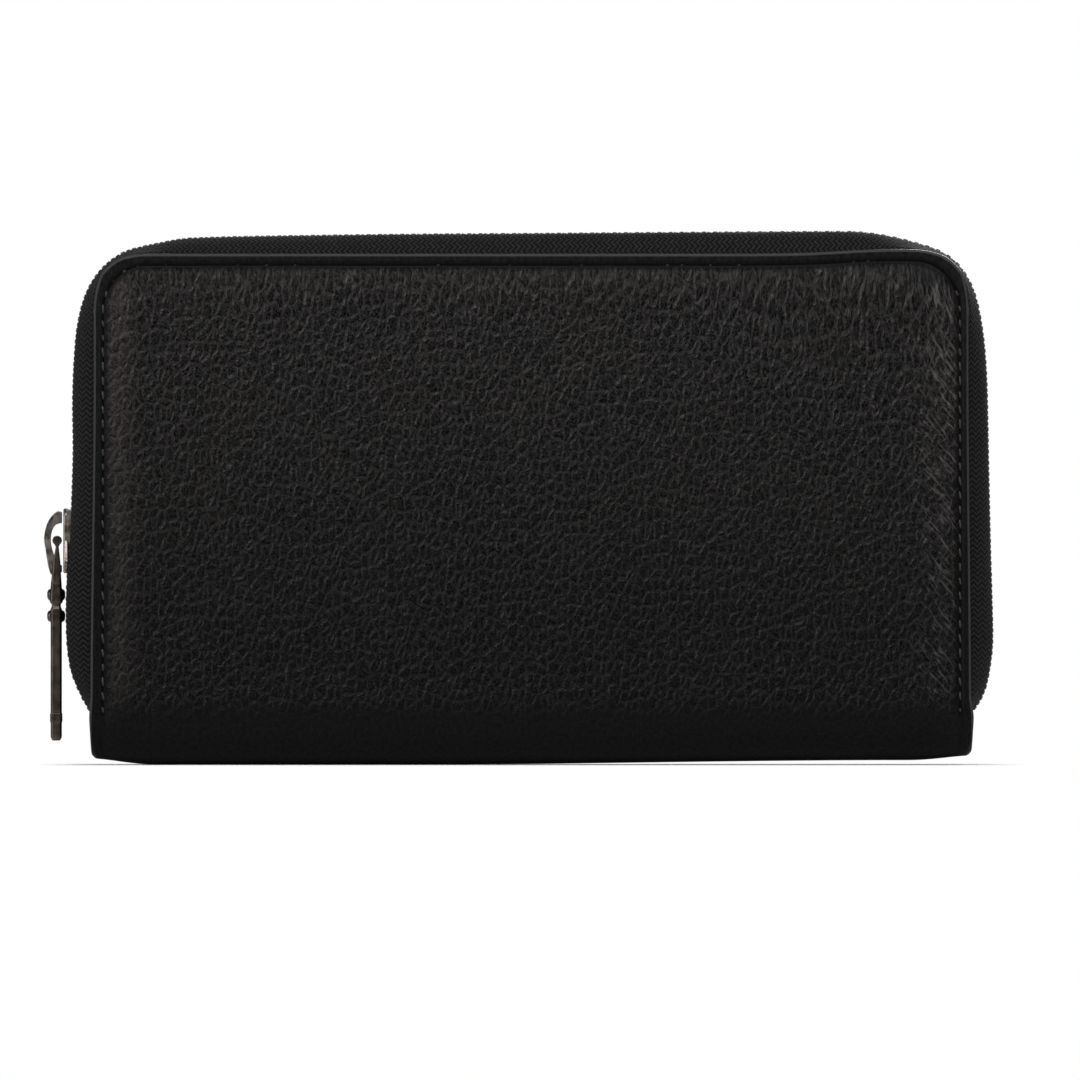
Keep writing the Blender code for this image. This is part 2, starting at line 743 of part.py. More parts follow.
def crown_outline():
    """(distance out from the slider's face, height from its middle) round the flat hook."""
    room = 2 * (EYE_RADIUS + GAP)
    reach = room + CROWN_BAND
    outside = [
        (GAP, -0.88 * CROWN_BOTTOM),
        (0.55 * reach, -CROWN_BOTTOM),
        (0.77 * reach, -0.75 * CROWN_BOTTOM),
        (0.93 * reach, -0.2 * CROWN_BOTTOM),
        (reach, 0.1 * CROWN_TOP),
        (0.87 * reach, 0.53 * CROWN_TOP),
        (0.63 * reach, 0.81 * CROWN_TOP),
        (0.3 * reach, CROWN_TOP),
        (GAP, 0.97 * CROWN_TOP),
    ]
    inside = [
        (GAP, 0.97 * CROWN_TOP - CROWN_TIP_BAND),
        (0.6 * room, 0.92 * CROWN_TOP - CROWN_TIP_BAND),
        (0.9 * room, 0.34 * CROWN_TOP),
        (room, 0.1 * CROWN_TOP),
        (0.97 * room, -0.12 * CROWN_BOTTOM),
        (0.75 * room, -0.4 * CROWN_BOTTOM),
        (0.4 * room, -0.62 * CROWN_BOTTOM),
        (GAP, -0.7 * CROWN_BOTTOM),
    ]
    return smooth_path(outside, CROWN_STEPS) + smooth_path(inside, CROWN_STEPS)


def make_crown(material, parent):
    """The flat hook on the slider's face that the puller's eye hangs in."""
    face = slider_face()
    outline = [(face - out, SLIDER_HEIGHT + z) for out, z in crown_outline()]
    mesh = flat_sheet("slider_crown", outline, -CROWN_WIDTH / 2, CROWN_WIDTH / 2)
    return add_part("slider_crown", mesh, material, parent)


def puller_bar_profile():
    """(distance below the eye, half thickness, half width) down the puller."""
    half, width = PULLER_THICKNESS / 2, PULLER_WIDTH / 2
    waist = FIRST_RIVET + RIVET_SPACING / 2
    band = PULLER_LENGTH - CAP_LENGTH
    step = 0.25 * MM
    return [
        (WINDOW_LENGTH, 0.8 * NECK_FOOT / 2, 0.94 * width),
        (waist - 3 * step, NECK_FOOT / 2, width),
        (waist - step, 0.8 * half, 0.85 * width),
        (waist + step, 0.8 * half, 0.85 * width),
        (waist + 3 * step, half, width),
        (band - BAND_LENGTH - step, half, width),
        (band - BAND_LENGTH, 1.1 * half, 1.05 * width),
        (band, 1.1 * half, 1.05 * width),
        (band + step, half, width),
        (PULLER_LENGTH - 3 * step, half, width),
        (PULLER_LENGTH, 0.7 * half, 0.85 * width),
    ]


def bar_section(x, z, half, width):
    """A flat bar's section with its four edges eased."""
    edge = 0.3 * half
    corners = [
        (half - edge, -width), (half, -width + edge), (half, width - edge), (half - edge, width),
        (edge - half, width), (-half, width - edge), (-half, edge - width), (edge - half, -width),
    ]
    return [(x + dx, y, z) for dx, y in corners]


def make_puller(material, parent):
    """The long bar puller: eye, two arms round the crown, rivets, bar and end cap."""
    x, _, z = eye_place()
    rings = [bar_section(x - PULLER_LEAN, z - drop, half, width)
             for drop, half, width in puller_bar_profile()]
    part = add_part("zip_puller", loft("zip_puller", rings), material, parent)
    reach = PULLER_WIDTH / 2
    eye = tube("eye", [(x, -reach, z), (x, reach, z)], EYE_RADIUS, 3)
    arms = [puller_arm(x, z, side) for side in (FRONT, BACK)]
    rivets = [rivet(x - PULLER_LEAN, z - FIRST_RIVET - row * RIVET_SPACING) for row in (0, 1)]
    join(part, *arms, eye, *rivets)
    return part


def rivet(x, z):
    """A rivet through the bar, with a low domed head on both faces."""
    face = PULLER_THICKNESS / 2
    heads = [(face + RIVET_PROUD, 0.45), (face + 0.7 * RIVET_PROUD, 0.85), (face, 1.0)]
    stations = [(-depth, size) for depth, size in heads]
    stations += [(depth, size) for depth, size in reversed(heads)]
    rings = []
    for depth, size in stations:
        angles = [2 * math.pi * side / RIVET_SIDES for side in range(RIVET_SIDES)]
        radius = RIVET_RADIUS * size
        rings.append(
            [(x + depth, radius * math.cos(a), z + radius * math.sin(a)) for a in angles]
        )
    return loft("rivet", rings)


def puller_arm(x, z, side):
    inner = CROWN_WIDTH / 2 + 1.2 * GAP
    outer = PULLER_WIDTH / 2
    width = (outer - inner) / 2
    middle = side * (outer + inner) / 2
    rings = []
    drops = [
        (-0.7 * EYE_RADIUS, 0.0, 0.6 * EYE_RADIUS),
        (0.0, 0.0, 0.97 * EYE_RADIUS),
        (1.3 * EYE_RADIUS, 0.0, NECK_TIP / 2),
        (0.5 * WINDOW_LENGTH, -0.5 * PULLER_LEAN, 0.27 * NECK_FOOT),
        (WINDOW_LENGTH + GAP, -PULLER_LEAN, 0.4 * NECK_FOOT),
    ]
    for drop, shift, thickness in drops:
        section = bar_section(x + shift, z - drop, thickness, width)
        rings.append([(px, middle + py, pz) for px, py, pz in section])
    return loft("arm", rings)


# --- Coin pocket --------------------------------------------------------------


def make_coin_pocket(materials):
    """Two flat walls in the middle of the wallet, closed by a fine zip along the top."""
    bottom = SPINE_END_LIFT + LEATHER + LINING + 2 * GAP
    outline = panel_outline(COIN_HALF_WIDTH, bottom, COIN_TOP, CARD_STRIP_CORNER)
    for side, word in ((FRONT, "front"), (BACK, "back")):
        name = f"coin_pocket_{word}_wall"
        face = COIN_HOLLOW / 2 + COIN_WALL
        add_layer(name, outline, side, face, COIN_WALL, materials["lining"], None)
        make_coin_tape(f"coin_zip_{word}_tape", side, materials["tape"])
        make_coin_teeth(f"coin_zip_{word}_teeth", side, materials["metal"])


def make_coin_tape(name, side, material):
    middle = (COIN_HOLLOW + COIN_WALL) / 2
    half = COIN_TAPE / 2
    outside = COIN_TOOTH_HEEL + GAP + half
    line = [
        (middle, COIN_TOP + GAP),
        (outside + COIN_TAPE_FLARE, COIN_TOP + COIN_TAPE_RISE),
        (outside, COIN_CHAIN_HEIGHT),
    ]
    section = [(y + half, z) for y, z in line] + [(y - half, z) for y, z in reversed(line)]
    ends = (COIN_CHAIN_START - COIN_TAPE_START, COIN_CHAIN_END + COIN_TAPE_END)
    rings = [[(x, side * y, z) for y, z in section] for x in ends]
    return add_part(name, loft(name, rings), material, None)


def make_coin_teeth(name, side, material):
    phase = 0.25 if side == FRONT else 0.75
    count = int((COIN_CHAIN_END - COIN_CHAIN_START) / COIN_PITCH)
    half = COIN_TOOTH_HEIGHT / 2
    comb = [(COIN_CHAIN_START, COIN_TOOTH_HEEL - COIN_CORD_WIDTH)]
    for number in range(count):
        middle = COIN_CHAIN_START + (number + phase) * COIN_PITCH
        reach = COIN_TOOTH_LENGTH / 2
        comb.append((middle - 1.1 * reach, COIN_TOOTH_HEEL - COIN_CORD_WIDTH))
        comb.append((middle - reach, -COIN_TOOTH_REACH))
        comb.append((middle + reach, -COIN_TOOTH_REACH))
        comb.append((middle + 1.1 * reach, COIN_TOOTH_HEEL - COIN_CORD_WIDTH))
    comb.append((COIN_CHAIN_END, COIN_TOOTH_HEEL - COIN_CORD_WIDTH))
    comb.append((COIN_CHAIN_END, COIN_TOOTH_HEEL))
    comb.append((COIN_CHAIN_START, COIN_TOOTH_HEEL))
    rings = [
        [(x, side * y, COIN_CHAIN_HEIGHT + rise) for x, y in comb] for rise in (-half, half)
    ]
    return add_part(name, loft(name, rings), material, None)


def coin_slider_top():
    channel = COIN_TOOTH_HEIGHT / 2 + COIN_SLIDER_CLEARANCE
    return COIN_CHAIN_HEIGHT + channel + COIN_SLIDER_PLATE


def coin_slider_middle():
    """Along X: the slider's post stands just past the end of the teeth."""
    return COIN_CHAIN_START - GAP - COIN_SLIDER_LENGTH / 6


def coin_eye_place():
    rise = GAP + 0.65 * COIN_PULL_THICKNESS
    return (coin_slider_middle() - 0.8 * MM, 0.0, coin_slider_top() + rise)


def make_coin_slider(material, parent):
    middle = coin_slider_middle()
    half = COIN_SLIDER_LENGTH / 2
    channel = COIN_TOOTH_HEIGHT / 2 + COIN_SLIDER_CLEARANCE
    width = COIN_SLIDER_WIDTH / 2
    top = coin_slider_top()
    upper = box("coin_slider", (middle - half, -width, top - COIN_SLIDER_PLATE),
                (middle + half, width, top), 0.2 * MM)
    part = add_part("coin_slider", upper, material, parent)
    under = COIN_CHAIN_HEIGHT - channel
    slim = COIN_HOLLOW / 2 + COIN_WALL + GAP
    lower = box("lower_plate", (middle - half, -slim, under - COIN_SLIDER_PLATE),
                (middle + half, slim, under), 0.2 * MM)
    post_end = COIN_CHAIN_START - GAP
    post = box("post", (middle - 0.8 * half, -0.6 * MM, under - COIN_SLIDER_PLATE / 2),
               (post_end, 0.6 * MM, top - COIN_SLIDER_PLATE / 2), 0.15 * MM)
    eye_x, _, eye_z = coin_eye_place()
    span = COIN_BAIL_SPAN / 2
    crest = eye_z + 0.65 * COIN_PULL_THICKNESS + GAP + COIN_BAIL_RADIUS
    foot = top - COIN_SLIDER_PLATE / 2
    route = [
        (eye_x + 0.4 * MM - span, foot),
        (eye_x + 0.4 * MM - span, crest - 1.0 * MM),
        (eye_x + 1.2 * MM - span, crest),
        (eye_x - 0.4 * MM + span, crest),
        (eye_x + 0.4 * MM + span, crest - 1.0 * MM),
        (eye_x + 0.4 * MM + span, foot),
    ]
    bail = tube("bail", [(x, 0.0, z) for x, z in route], COIN_BAIL_RADIUS)
    join(part, lower, post, bail)
    return part


def make_coin_pull(material, parent):
    """A flat tab that lies along the zip, with a window round the slider's bail."""
    x, _, z = coin_eye_place()
    half = COIN_PULL_THICKNESS / 2
    width = COIN_PULL_WIDTH / 2
    arm = COIN_BAIL_RADIUS + 1.4 * GAP
    start = x - COIN_EYE / 2
    tab = box("coin_pull", (x + COIN_PULL_WINDOW, -width, z - half),
              (x + COIN_PULL_LENGTH, width, z + half), 0.2 * MM)
    part = add_part("coin_pull", tab, material, parent)
    shapes = [
        box("arm", (start, min(side * arm, side * width), z - half),
            (x + COIN_PULL_WINDOW + 1 * MM, max(side * arm, side * width), z + half), 0.15 * MM)
        for side in (FRONT, BACK)
    ]
    eye = tube("eye", [(x, -0.9 * width, z), (x, 0.9 * width, z)], COIN_EYE / 2, 2)
    join(part, *shapes, eye)
    return part


# --- Gussets ------------------------------------------------------------------


def make_gusset(name, side, end, material):
    """A sheet folded once, V-shaped, that closes one end of a note compartment."""
    near = COIN_HOLLOW / 2 + COIN_WALL + GAP
    far = strips_face() - CARD_STRIP_GAP
    fold = (near + far) / 2
    edge = GUSSET_EDGE
    rings = []
    for step in range(GUSSET_STEPS + 1):
        share = step / GUSSET_STEPS
        z = GUSSET_BOTTOM + share * (GUSSET_TOP - GUSSET_BOTTOM)
        deep = GUSSET_FOLD_BOTTOM + share * (GUSSET_FOLD_TOP - GUSSET_FOLD_BOTTOM)
        outline = [
            (edge, near),
            (edge - deep, fold),
            (edge, far),
            (edge, far - GUSSET),
            (edge - deep + 2.2 * GUSSET, fold),
            (edge, near + GUSSET),
        ]
        rings.append([(end * x, side * y, z) for x, y in outline])
    part = add_part(name, loft(name, rings), material, None)
    part.modifiers.new("Triangles", "TRIANGULATE")
    return part


# --- Assembly -----------------------------------------------------------------


def make_materials():
    return {
        "leather": make_material("black_leather", (0.011, 0.010, 0.010), 0.42),
        "padding": make_material("foam", (0.20, 0.20, 0.19), 0.9),
        "lining": make_material("lining_cloth", (0.020, 0.019, 0.019), 0.8),
        "tape": make_material("zip_tape", (0.008, 0.008, 0.009), 0.85),
        "metal": make_material("dark_teeth", (0.12, 0.11, 0.10), 0.3, 1.0),
        "nickel": make_material("aged_nickel", (0.36, 0.33, 0.31), 0.32, 1.0),
    }


def make_side(prefix, side, materials, parent):
    make_cover(f"{prefix}_cover", side, materials["leather"], parent)
    make_padding(f"{prefix}_padding", side, materials["padding"], parent)
    make_layers(prefix, side, materials, parent)
    make_tape(f"{prefix}_zip_tape", side, materials["tape"], parent)
    make_teeth(f"{prefix}_zip_teeth", side, materials["metal"], parent)
    spread = row_spread(-CHAIN_HALF_WIDTH, CHAIN_START)
    name = f"{prefix}_zip_end_stop"
    make_end_stop(name, -CHAIN_HALF_WIDTH, spread, [side], materials["metal"], parent)


def make_wallet():
    materials = make_materials()
    fold_depth = RIM_FACE + PUFF
    fold_z = FOLD_HEIGHT + GAP / 2
    front_axis = make_axis("front_fold_axis", (0.0, -fold_depth, fold_z))
    back_axis = make_axis("back_fold_axis", (0.0, fold_depth, fold_z))
    slider_axis = make_axis("slider_axis", (-CHAIN_HALF_WIDTH, 0.0, SLIDER_HEIGHT), back_axis)
    puller_axis = make_axis("puller_axis", eye_place(), slider_axis)
    coin_place = (coin_slider_middle(), 0.0, COIN_CHAIN_HEIGHT)
    coin_axis = make_axis("coin_slider_axis", coin_place)
    coin_pull_axis = make_axis("coin_pull_axis", coin_eye_place(), coin_axis)

    make_spine(materials["leather"])
    make_spine_lining(materials["lining"])
    make_side("front", FRONT, materials, front_axis)
    make_side("back", BACK, materials, back_axis)
    make_end_stop("zip_start_stop", CHAIN_HALF_WIDTH, 0.0, [FRONT, BACK], materials["metal"], back_axis)
    make_slider(materials["nickel"], slider_axis)
    make_crown(materials["nickel"], slider_axis)
    make_puller(materials["nickel"], puller_axis)
    make_coin_pocket(materials)
    make_coin_slider(materials["nickel"], coin_axis)
    make_coin_pull(materials["nickel"], coin_pull_axis)
    for side, word in ((FRONT, "front"), (BACK, "back")):
        for end, hand in ((-1, "left"), (1, "right")):
            make_gusset(f"{word}_{hand}_gusset", side, end, materials["lining"])


clear_scene()
PARTS = make_collection("long_wallet")
HELPERS = make_collection("shapes_joined", helpers=True)
make_wallet()
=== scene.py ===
"""The looks of a zip-around long wallet in black pebbled leather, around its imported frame.

The front cover faces -Y, the slider is at the left, and the wallet stands on its spine.
Sizes are in metres.
"""

import random
from math import cos, hypot, pi, sin

import bmesh
import bpy
import numpy as np
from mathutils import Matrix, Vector


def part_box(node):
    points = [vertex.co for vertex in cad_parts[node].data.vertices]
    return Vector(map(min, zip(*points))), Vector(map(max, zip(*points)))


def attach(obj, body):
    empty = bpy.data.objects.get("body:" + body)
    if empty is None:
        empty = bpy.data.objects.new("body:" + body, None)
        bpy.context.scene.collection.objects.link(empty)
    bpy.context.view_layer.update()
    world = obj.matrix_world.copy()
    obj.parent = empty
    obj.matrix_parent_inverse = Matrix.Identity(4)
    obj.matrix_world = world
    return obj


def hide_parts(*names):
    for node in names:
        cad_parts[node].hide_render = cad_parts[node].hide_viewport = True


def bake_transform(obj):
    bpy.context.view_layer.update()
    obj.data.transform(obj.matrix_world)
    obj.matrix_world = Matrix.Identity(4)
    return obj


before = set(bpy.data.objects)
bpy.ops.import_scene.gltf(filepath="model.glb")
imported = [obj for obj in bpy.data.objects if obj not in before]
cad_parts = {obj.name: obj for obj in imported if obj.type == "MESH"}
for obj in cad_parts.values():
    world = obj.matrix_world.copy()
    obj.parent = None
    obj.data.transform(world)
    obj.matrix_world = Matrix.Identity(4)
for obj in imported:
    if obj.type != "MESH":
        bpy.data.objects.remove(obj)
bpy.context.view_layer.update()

MM = 0.001
FRONT, BACK = -1, 1

# Covers and spine, read from the frame
COVER_LOW, COVER_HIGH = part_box("front_cover")
HALF_WIDTH = COVER_HIGH.x
COVER_TOP = COVER_HIGH.z
FOLD_HEIGHT = COVER_LOW.z
PUFF = 1.8 * MM
PANEL_FACE = -COVER_LOW.y
RIM_FACE = PANEL_FACE - PUFF
COVER_CORNER = 12.5 * MM
LEATHER = 1.2 * MM
EDGE_ROLL = 0.6 * MM  # how far the turned edge bulges past the flat hem
HEM_WIDTH = 2.5 * MM
HEM_CROWN = 0.16 * MM
GROOVE_WIDTH = 1.1 * MM
GROOVE_DEPTH = 0.4 * MM
SEAM_INSET = HEM_WIDTH + GROOVE_WIDTH / 2
SHOULDER_START = HEM_WIDTH + GROOVE_WIDTH
SHOULDER_WIDTH = 11.0 * MM
SHOULDER_CORNER = 7.0 * MM  # how far the panel's corner is rounded off
PANEL_CROWN = 0.45 * MM
LONG_GRAIN_BAND = 17.0 * MM  # where the grain is drawn out upwards, below the top edge
LONG_GRAIN_RIGHT = 1.6  # how much wider that band is at the right
LONG_GRAIN = 0.6
LEATHER_GLOSS = 0.04
LARGE_GRAIN, FINE_GRAIN = 610, 1600  # grains in a metre
GRAIN_STRETCH, FINE_STRETCH = (1.0, 0.64, 1.0), (1.0, 0.75, 1.0)
SMALL_GRAIN = 0.3  # the relief of the finest grain against that of the large grain
CREASE_SLANT = 0.86
SMOOTH_PATCH = (85.5 * MM, 105.2 * MM)  # where the panel's corner is almost without grain
# How far a cover's sides draw in all the way up, and how much more towards the top
LEAN_LEFT, LEAN_LEFT_TOP = 0.3 * MM, 0.85 * MM
LEAN_RIGHT, LEAN_RIGHT_TOP = 0.7 * MM, 0.65 * MM
LEAN_START = 10.0 * MM
LEAN_REACH = 74.0 * MM
TOP_SWELL = 1.0 * MM  # the top edge rises a little before its right corner
TOP_SWELL_PLACE, TOP_SWELL_WIDTH = 78.0 * MM, 15.0 * MM
TOP_TUCK = 0.6 * MM  # how much closer to the edge the seam lies along the top
TOP_FADE = 10.0 * MM
SPINE_FLAT = 5.0 * MM
SPINE_END_LIFT = 1.35 * MM
SPINE_END_REACH = 17.0 * MM
SPINE_CORNER = 1.3 * MM
SPINE_RIGHT_LIFT = 1.0 * MM
FOLD_GROOVE = 0.35  # how deep the groove is pressed at the fold, against its full depth
RIM_STEP = 0.36 * MM
PANEL_STEP = 1.1 * MM
CORNER_COLUMNS, BEND_ROWS = 34, 20  # of points round a corner and round the fold
DENSE_BAND = SHOULDER_START + 0.6 * SHOULDER_WIDTH

SIDES = 8  # of the round section of a stitch or a cord, and of a tooth

# Stitching
STITCH_PITCH = 3.08 * MM
STITCH_LENGTH = 2.5 * MM
THREAD = 0.29 * MM  # radius
STITCH_RINGS = 7
STITCH_SLANT = 0.16 * MM
TOP_STITCH_SINK = 0.32 * MM  # how much deeper the stitches along the top lie
STITCH_END = 10.2 * MM

# Inside
LAYER_ROLL = 0.15 * MM
LAYER_RELIEF = 0.12 * MM
LAYER_STEP = 2.0 * MM
HEM_TURN = 5.0 * MM
HEM_SEAM = 3.6 * MM
PAD_EDGE = 0.9 * MM
PAD_SHOULDER = 12.0 * MM
PAD_CORNER = 6.5 * MM
SPINE_CLOTH = 1.0 * MM
GUSSET = 0.4 * MM
GUSSET_LEAST = 4.0 * MM  # how deep it folds at its foot
GUSSET_DROP = 3.1 * MM  # how far it reaches below its solid, down to the spine's lining

# Zip
TAPE = 0.5 * MM
TAPE_SEWN_INSET = 4.4 * MM
TAPE_EDGE_INSET = 0.9 * MM
TAPE_KNEE_DEPTH = 7.4 * MM
TAPE_BULGE = 0.38 * MM  # how far the tape swells out beside the teeth
TOOTH_PITCH = 2.4 * MM
TOOTH_LENGTH = 1.05 * MM
TOOTH_HEIGHT = 2.3 * MM
TOOTH_REACH = 0.6 * MM
TOOTH_HEEL = 2.5 * MM
CORD_RADIUS = 0.55 * MM
CORD_DEPTH = 2.2 * MM
ROW_SPREAD = 1.9 * MM
SLIDER_LOW, SLIDER_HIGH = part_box("slider_body")
SPREAD_NECK = SLIDER_HIGH.z - 7.9 * MM
SPREAD_MOUTH = SLIDER_LOW.z
# The chain's middle line from the lower left end, over the top, to the lower right end
CHAIN_ROUTE = [
    (-93.9, 11.6), (-94.9, 13.0), (-96.2, 15.5), (-97.4, 18.2), (-98.3, 21.0), (-99.0, 26.0),
    (-99.2, 33.0), (-99.0, 40.0), (-98.5, 47.0), (-98.0, 57.0), (-97.7, 68.0), (-97.8, 78.0),
    (-97.5, 87.0), (-96.7, 95.0), (-94.9, 101.4), (-91.8, 106.2), (-87.7, 109.3), (-84.0, 110.5),
    (-79.8, 111.4), (-75.3, 112.2), (-70.5, 112.5), (-58.0, 112.8), (-28.0, 113.2), (2.0, 113.4),
    (36.0, 113.65), (66.0, 113.8), (71.5, 113.6), (77.0, 112.8), (83.0, 111.3), (87.6, 109.7),
    (90.9, 107.4), (93.2, 104.2), (94.7, 100.6), (95.8, 95.7), (96.6, 89.5), (97.1, 81.0),
    (97.4, 66.0), (97.8, 48.0), (98.2, 34.0), (98.3, 26.5), (97.8, 21.5), (96.9, 17.0),
    (95.6, 14.0), (94.0, 11.8),
]

random.seed(11)


# --- Shape helpers ------------------------------------------------------------


def smooth_step(share):
    share = np.clip(share, 0.0, 1.0)
    return share * share * (3 - 2 * share)


def bell(distance, width):
    """1 at no distance, and next to nothing beyond two widths."""
    return np.exp(-((distance / width) ** 2))


def spaced(start, end, step):
    count = max(int(round(abs(end - start) / step)), 1)
    return np.linspace(start, end, count + 1)


def chained(*stretches):
    """Stretches of places end to end, with each shared end once."""
    return np.concatenate([stretches[0]] + [stretch[1:] for stretch in stretches[1:]])


def unit(vectors):
    return vectors / np.linalg.norm(vectors, axis=-1, keepdims=True)


def measured(path):
    """How far along a path each of its points lies."""
    steps = np.linalg.norm(np.diff(path, axis=0), axis=1)
    return np.concatenate([[0.0], np.cumsum(steps)])


def grid_of(x, y, z):
    """Vectors from their three parts, which are spread over one shape."""
    return np.stack(np.broadcast_arrays(x, y, z), axis=-1)


def catmull(points, steps):
    """Points of a Catmull-Rom curve through the given ones."""
    points = np.asarray(points, float)
    padded = np.vstack([2 * points[0] - points[1], points, 2 * points[-1] - points[-2]])
    share = np.linspace(0, 1, steps, endpoint=False)[:, None]
    path = []
    for a, b, c, d in zip(padded, padded[1:], padded[2:], padded[3:]):
        cubic = (3 * b - a - 3 * c + d) * share**3 + (2 * a - 5 * b + 4 * c - d) * share**2
        path.append(0.5 * (2 * b + (c - a) * share + cubic))
    return np.vstack([*path, points[-1:]])


def border_loop(rows, cols):
    """(rows, columns) of the points round a grid, anticlockwise, from its first row."""
    first = [(0, col) for col in range(cols - 1)]
    right = [(row, cols - 1) for row in range(rows - 1)]
    last = [(rows - 1, col) for col in range(cols - 1, 0, -1)]
    left = [(row, 0) for row in range(rows - 1, 0, -1)]
    return tuple(np.array(first + right + last + left).T)


def linked(name, data):
    """A new object in the scene."""
    thing = bpy.data.objects.new(name, data)
    bpy.context.scene.collection.objects.link(thing)
    return thing


def new_mesh(name, vertices, faces):
    mesh = bpy.data.meshes.new(name)
    mesh.from_pydata(vertices, [], faces)
    return mesh


def new_piece(name, mesh, look):
    mesh.materials.append(MATERIALS[look])
    mesh.shade_smooth()
    return linked(name, mesh)


def seat(piece, body, slot, *nodes):
    """Says which body a piece rides on and which nodes it stands for; slot, what it is made of,
    is not used.
    """
    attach(piece, body)
    if nodes:
        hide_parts(*nodes)


def set_attribute(mesh, name, values):
    attribute = mesh.attributes.new(name, "FLOAT_VECTOR", "POINT")
    attribute.data.foreach_set("vector", np.asarray(values, np.float32).ravel())


def grid_solid(name, grid, thickness, look, roll=0.0, fields=None, rim=3):
    """A closed sheet on a grid of points seen from its outer side, with a rounded edge.

    roll is how far the edge bulges, all round or as one value for each point of the border,
    and rim is the number of rows of points in it. fields are attributes on the grid.
    """
    rows, cols = grid.shape[:2]
    count = rows * cols
    normals = unit(np.cross(np.gradient(grid, axis=1), np.gradient(grid, axis=0)))
    inner = grid - normals * thickness
    border = border_loop(rows, cols)
    outer_edge, inner_edge = grid[border], inner[border]
    tangents = np.roll(outer_edge, -1, axis=0) - np.roll(outer_edge, 1, axis=0)
    outward = unit(np.cross(tangents, normals[border]))
    bulge = outward * np.broadcast_to(roll, len(tangents))[:, None]
    middle, half = (outer_edge + inner_edge) / 2, (outer_edge - inner_edge) / 2
    rims = [
        middle + half * cos(angle) + bulge * sin(angle)
        for angle in pi * np.arange(1, rim + 1) / (rim + 1)
    ]
    vertices = np.vstack([grid.reshape(-1, 3), inner.reshape(-1, 3), *rims])
    index = np.arange(count).reshape(rows, cols)
    quads = np.stack([index[:-1, :-1], index[:-1, 1:], index[1:, 1:], index[1:, :-1]], axis=-1)
    quads = quads.reshape(-1, 4)
    edge = index[border]
    levels = [2 * count + step * len(edge) + np.arange(len(edge)) for step in range(rim)]
    levels = [edge, *levels, edge + count]
    walls = [
        np.stack([np.roll(high, -1), high, low, np.roll(low, -1)], axis=-1)
        for high, low in zip(levels, levels[1:])
    ]
    faces = np.vstack([quads, quads[:, ::-1] + count, *walls])
    mesh = new_mesh(name, vertices.tolist(), faces.tolist())
    # The rounded edge, marked so that the leather's colour paints it paler as a highlight
    paler_share = np.zeros((len(vertices), 3))
    paler_share[2 * count :, 0] = 1.0
    paler_share[edge, 0] = 0.6
    set_attribute(mesh, "edge_highlight", paler_share)
    for label, values in (fields or {}).items():
        flat = values.reshape(-1, 3)
        set_attribute(mesh, label, np.vstack([flat, flat] + [values[border]] * rim))
    return new_piece(name, mesh, look)


def bar_faces(base, rings):
    """The faces of a closed bar of rings, whose first point has the number base."""
    faces = []
    for ring in range(rings - 1):
        for corner in range(SIDES):
            after = (corner + 1) % SIDES
            low, high = base + ring * SIDES, base + (ring + 1) * SIDES
            faces.append((low + corner, low + after, high + after, high + corner))
    last = base + (rings - 1) * SIDES
    faces.append(tuple(base + corner for corner in reversed(range(SIDES))))
    faces.append(tuple(last + corner for corner in range(SIDES)))
    return faces


def loose_piece(name, vertices, faces, look, body):
    """A piece made of many small closed bodies, riding on one body."""
    mesh = new_mesh(name, vertices, faces)
    shape = bmesh.new()
    shape.from_mesh(mesh)
    bmesh.ops.recalc_face_normals(shape, faces=shape.faces)
    shape.to_mesh(mesh)
    shape.free()
    piece = new_piece(name, mesh, look)
    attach(piece, body)
    return piece


# --- Hide ---------------------------------------------------------------------


def edge_inset(x, z):
    """How far a point of a cover lies inside its outline, open at the fold."""
    side, top = HALF_WIDTH - np.abs(x), COVER_TOP - z
    corner = (side < COVER_CORNER) & (top < COVER_CORNER)
    round_inset = COVER_CORNER - np.hypot(COVER_CORNER - side, COVER_CORNER - top)
    return np.where(corner, round_inset, np.minimum(side, top))


def panel_inset(x, z):
    """The same for the padded panel, whose corners are rounder."""
    side, top = HALF_WIDTH - np.abs(x), COVER_TOP - z
    mixed = np.clip(0.5 + 0.5 * (top - side) / SHOULDER_CORNER, 0.0, 1.0)
    soft = top + (side - top) * mixed - SHOULDER_CORNER * mixed * (1 - mixed)
    return np.minimum(soft, edge_inset(x, z))


def leaned(x, z):
    """The place across of a point of the hem, which draws in a little towards the top."""
    outer = np.clip(1 - (HALF_WIDTH - np.abs(x)) / SEAM_INSET, 0, 1)
    base = np.where(x < 0, LEAN_LEFT, LEAN_RIGHT) * smooth_step((z - LEAN_START) / (5 * MM))
    more = np.where(x < 0, LEAN_LEFT_TOP, LEAN_RIGHT_TOP)
    more = more * smooth_step((z - LEAN_START) / LEAN_REACH)
    return x - np.sign(x) * outer * (base + more)


def swollen(x, z):
    """The height of a point near the top edge.

    The seam lies close to the edge there, and both rise a little before the right corner.
    """
    below = COVER_TOP - z
    swell = TOP_SWELL * bell(x - TOP_SWELL_PLACE, TOP_SWELL_WIDTH)
    tuck = TOP_TUCK * smooth_step(below / HEM_WIDTH)
    return z + (swell + tuck) * (1 - smooth_step((below - SHOULDER_START) / TOP_FADE))


def face_height(inset, panel, groove):
    """How far a cover's leather stands over its rim."""
    hem = HEM_CROWN * np.sin(pi * np.clip(inset / HEM_WIDTH, 0, 1))
    pressed = -GROOVE_DEPTH * groove * bell(inset - SEAM_INSET, 0.62 * GROOVE_WIDTH)
    share = np.clip((panel - SHOULDER_START) / SHOULDER_WIDTH, 0.0, 1.0)
    return hem + pressed + PUFF * (1 - (1 - share) ** 4.0)


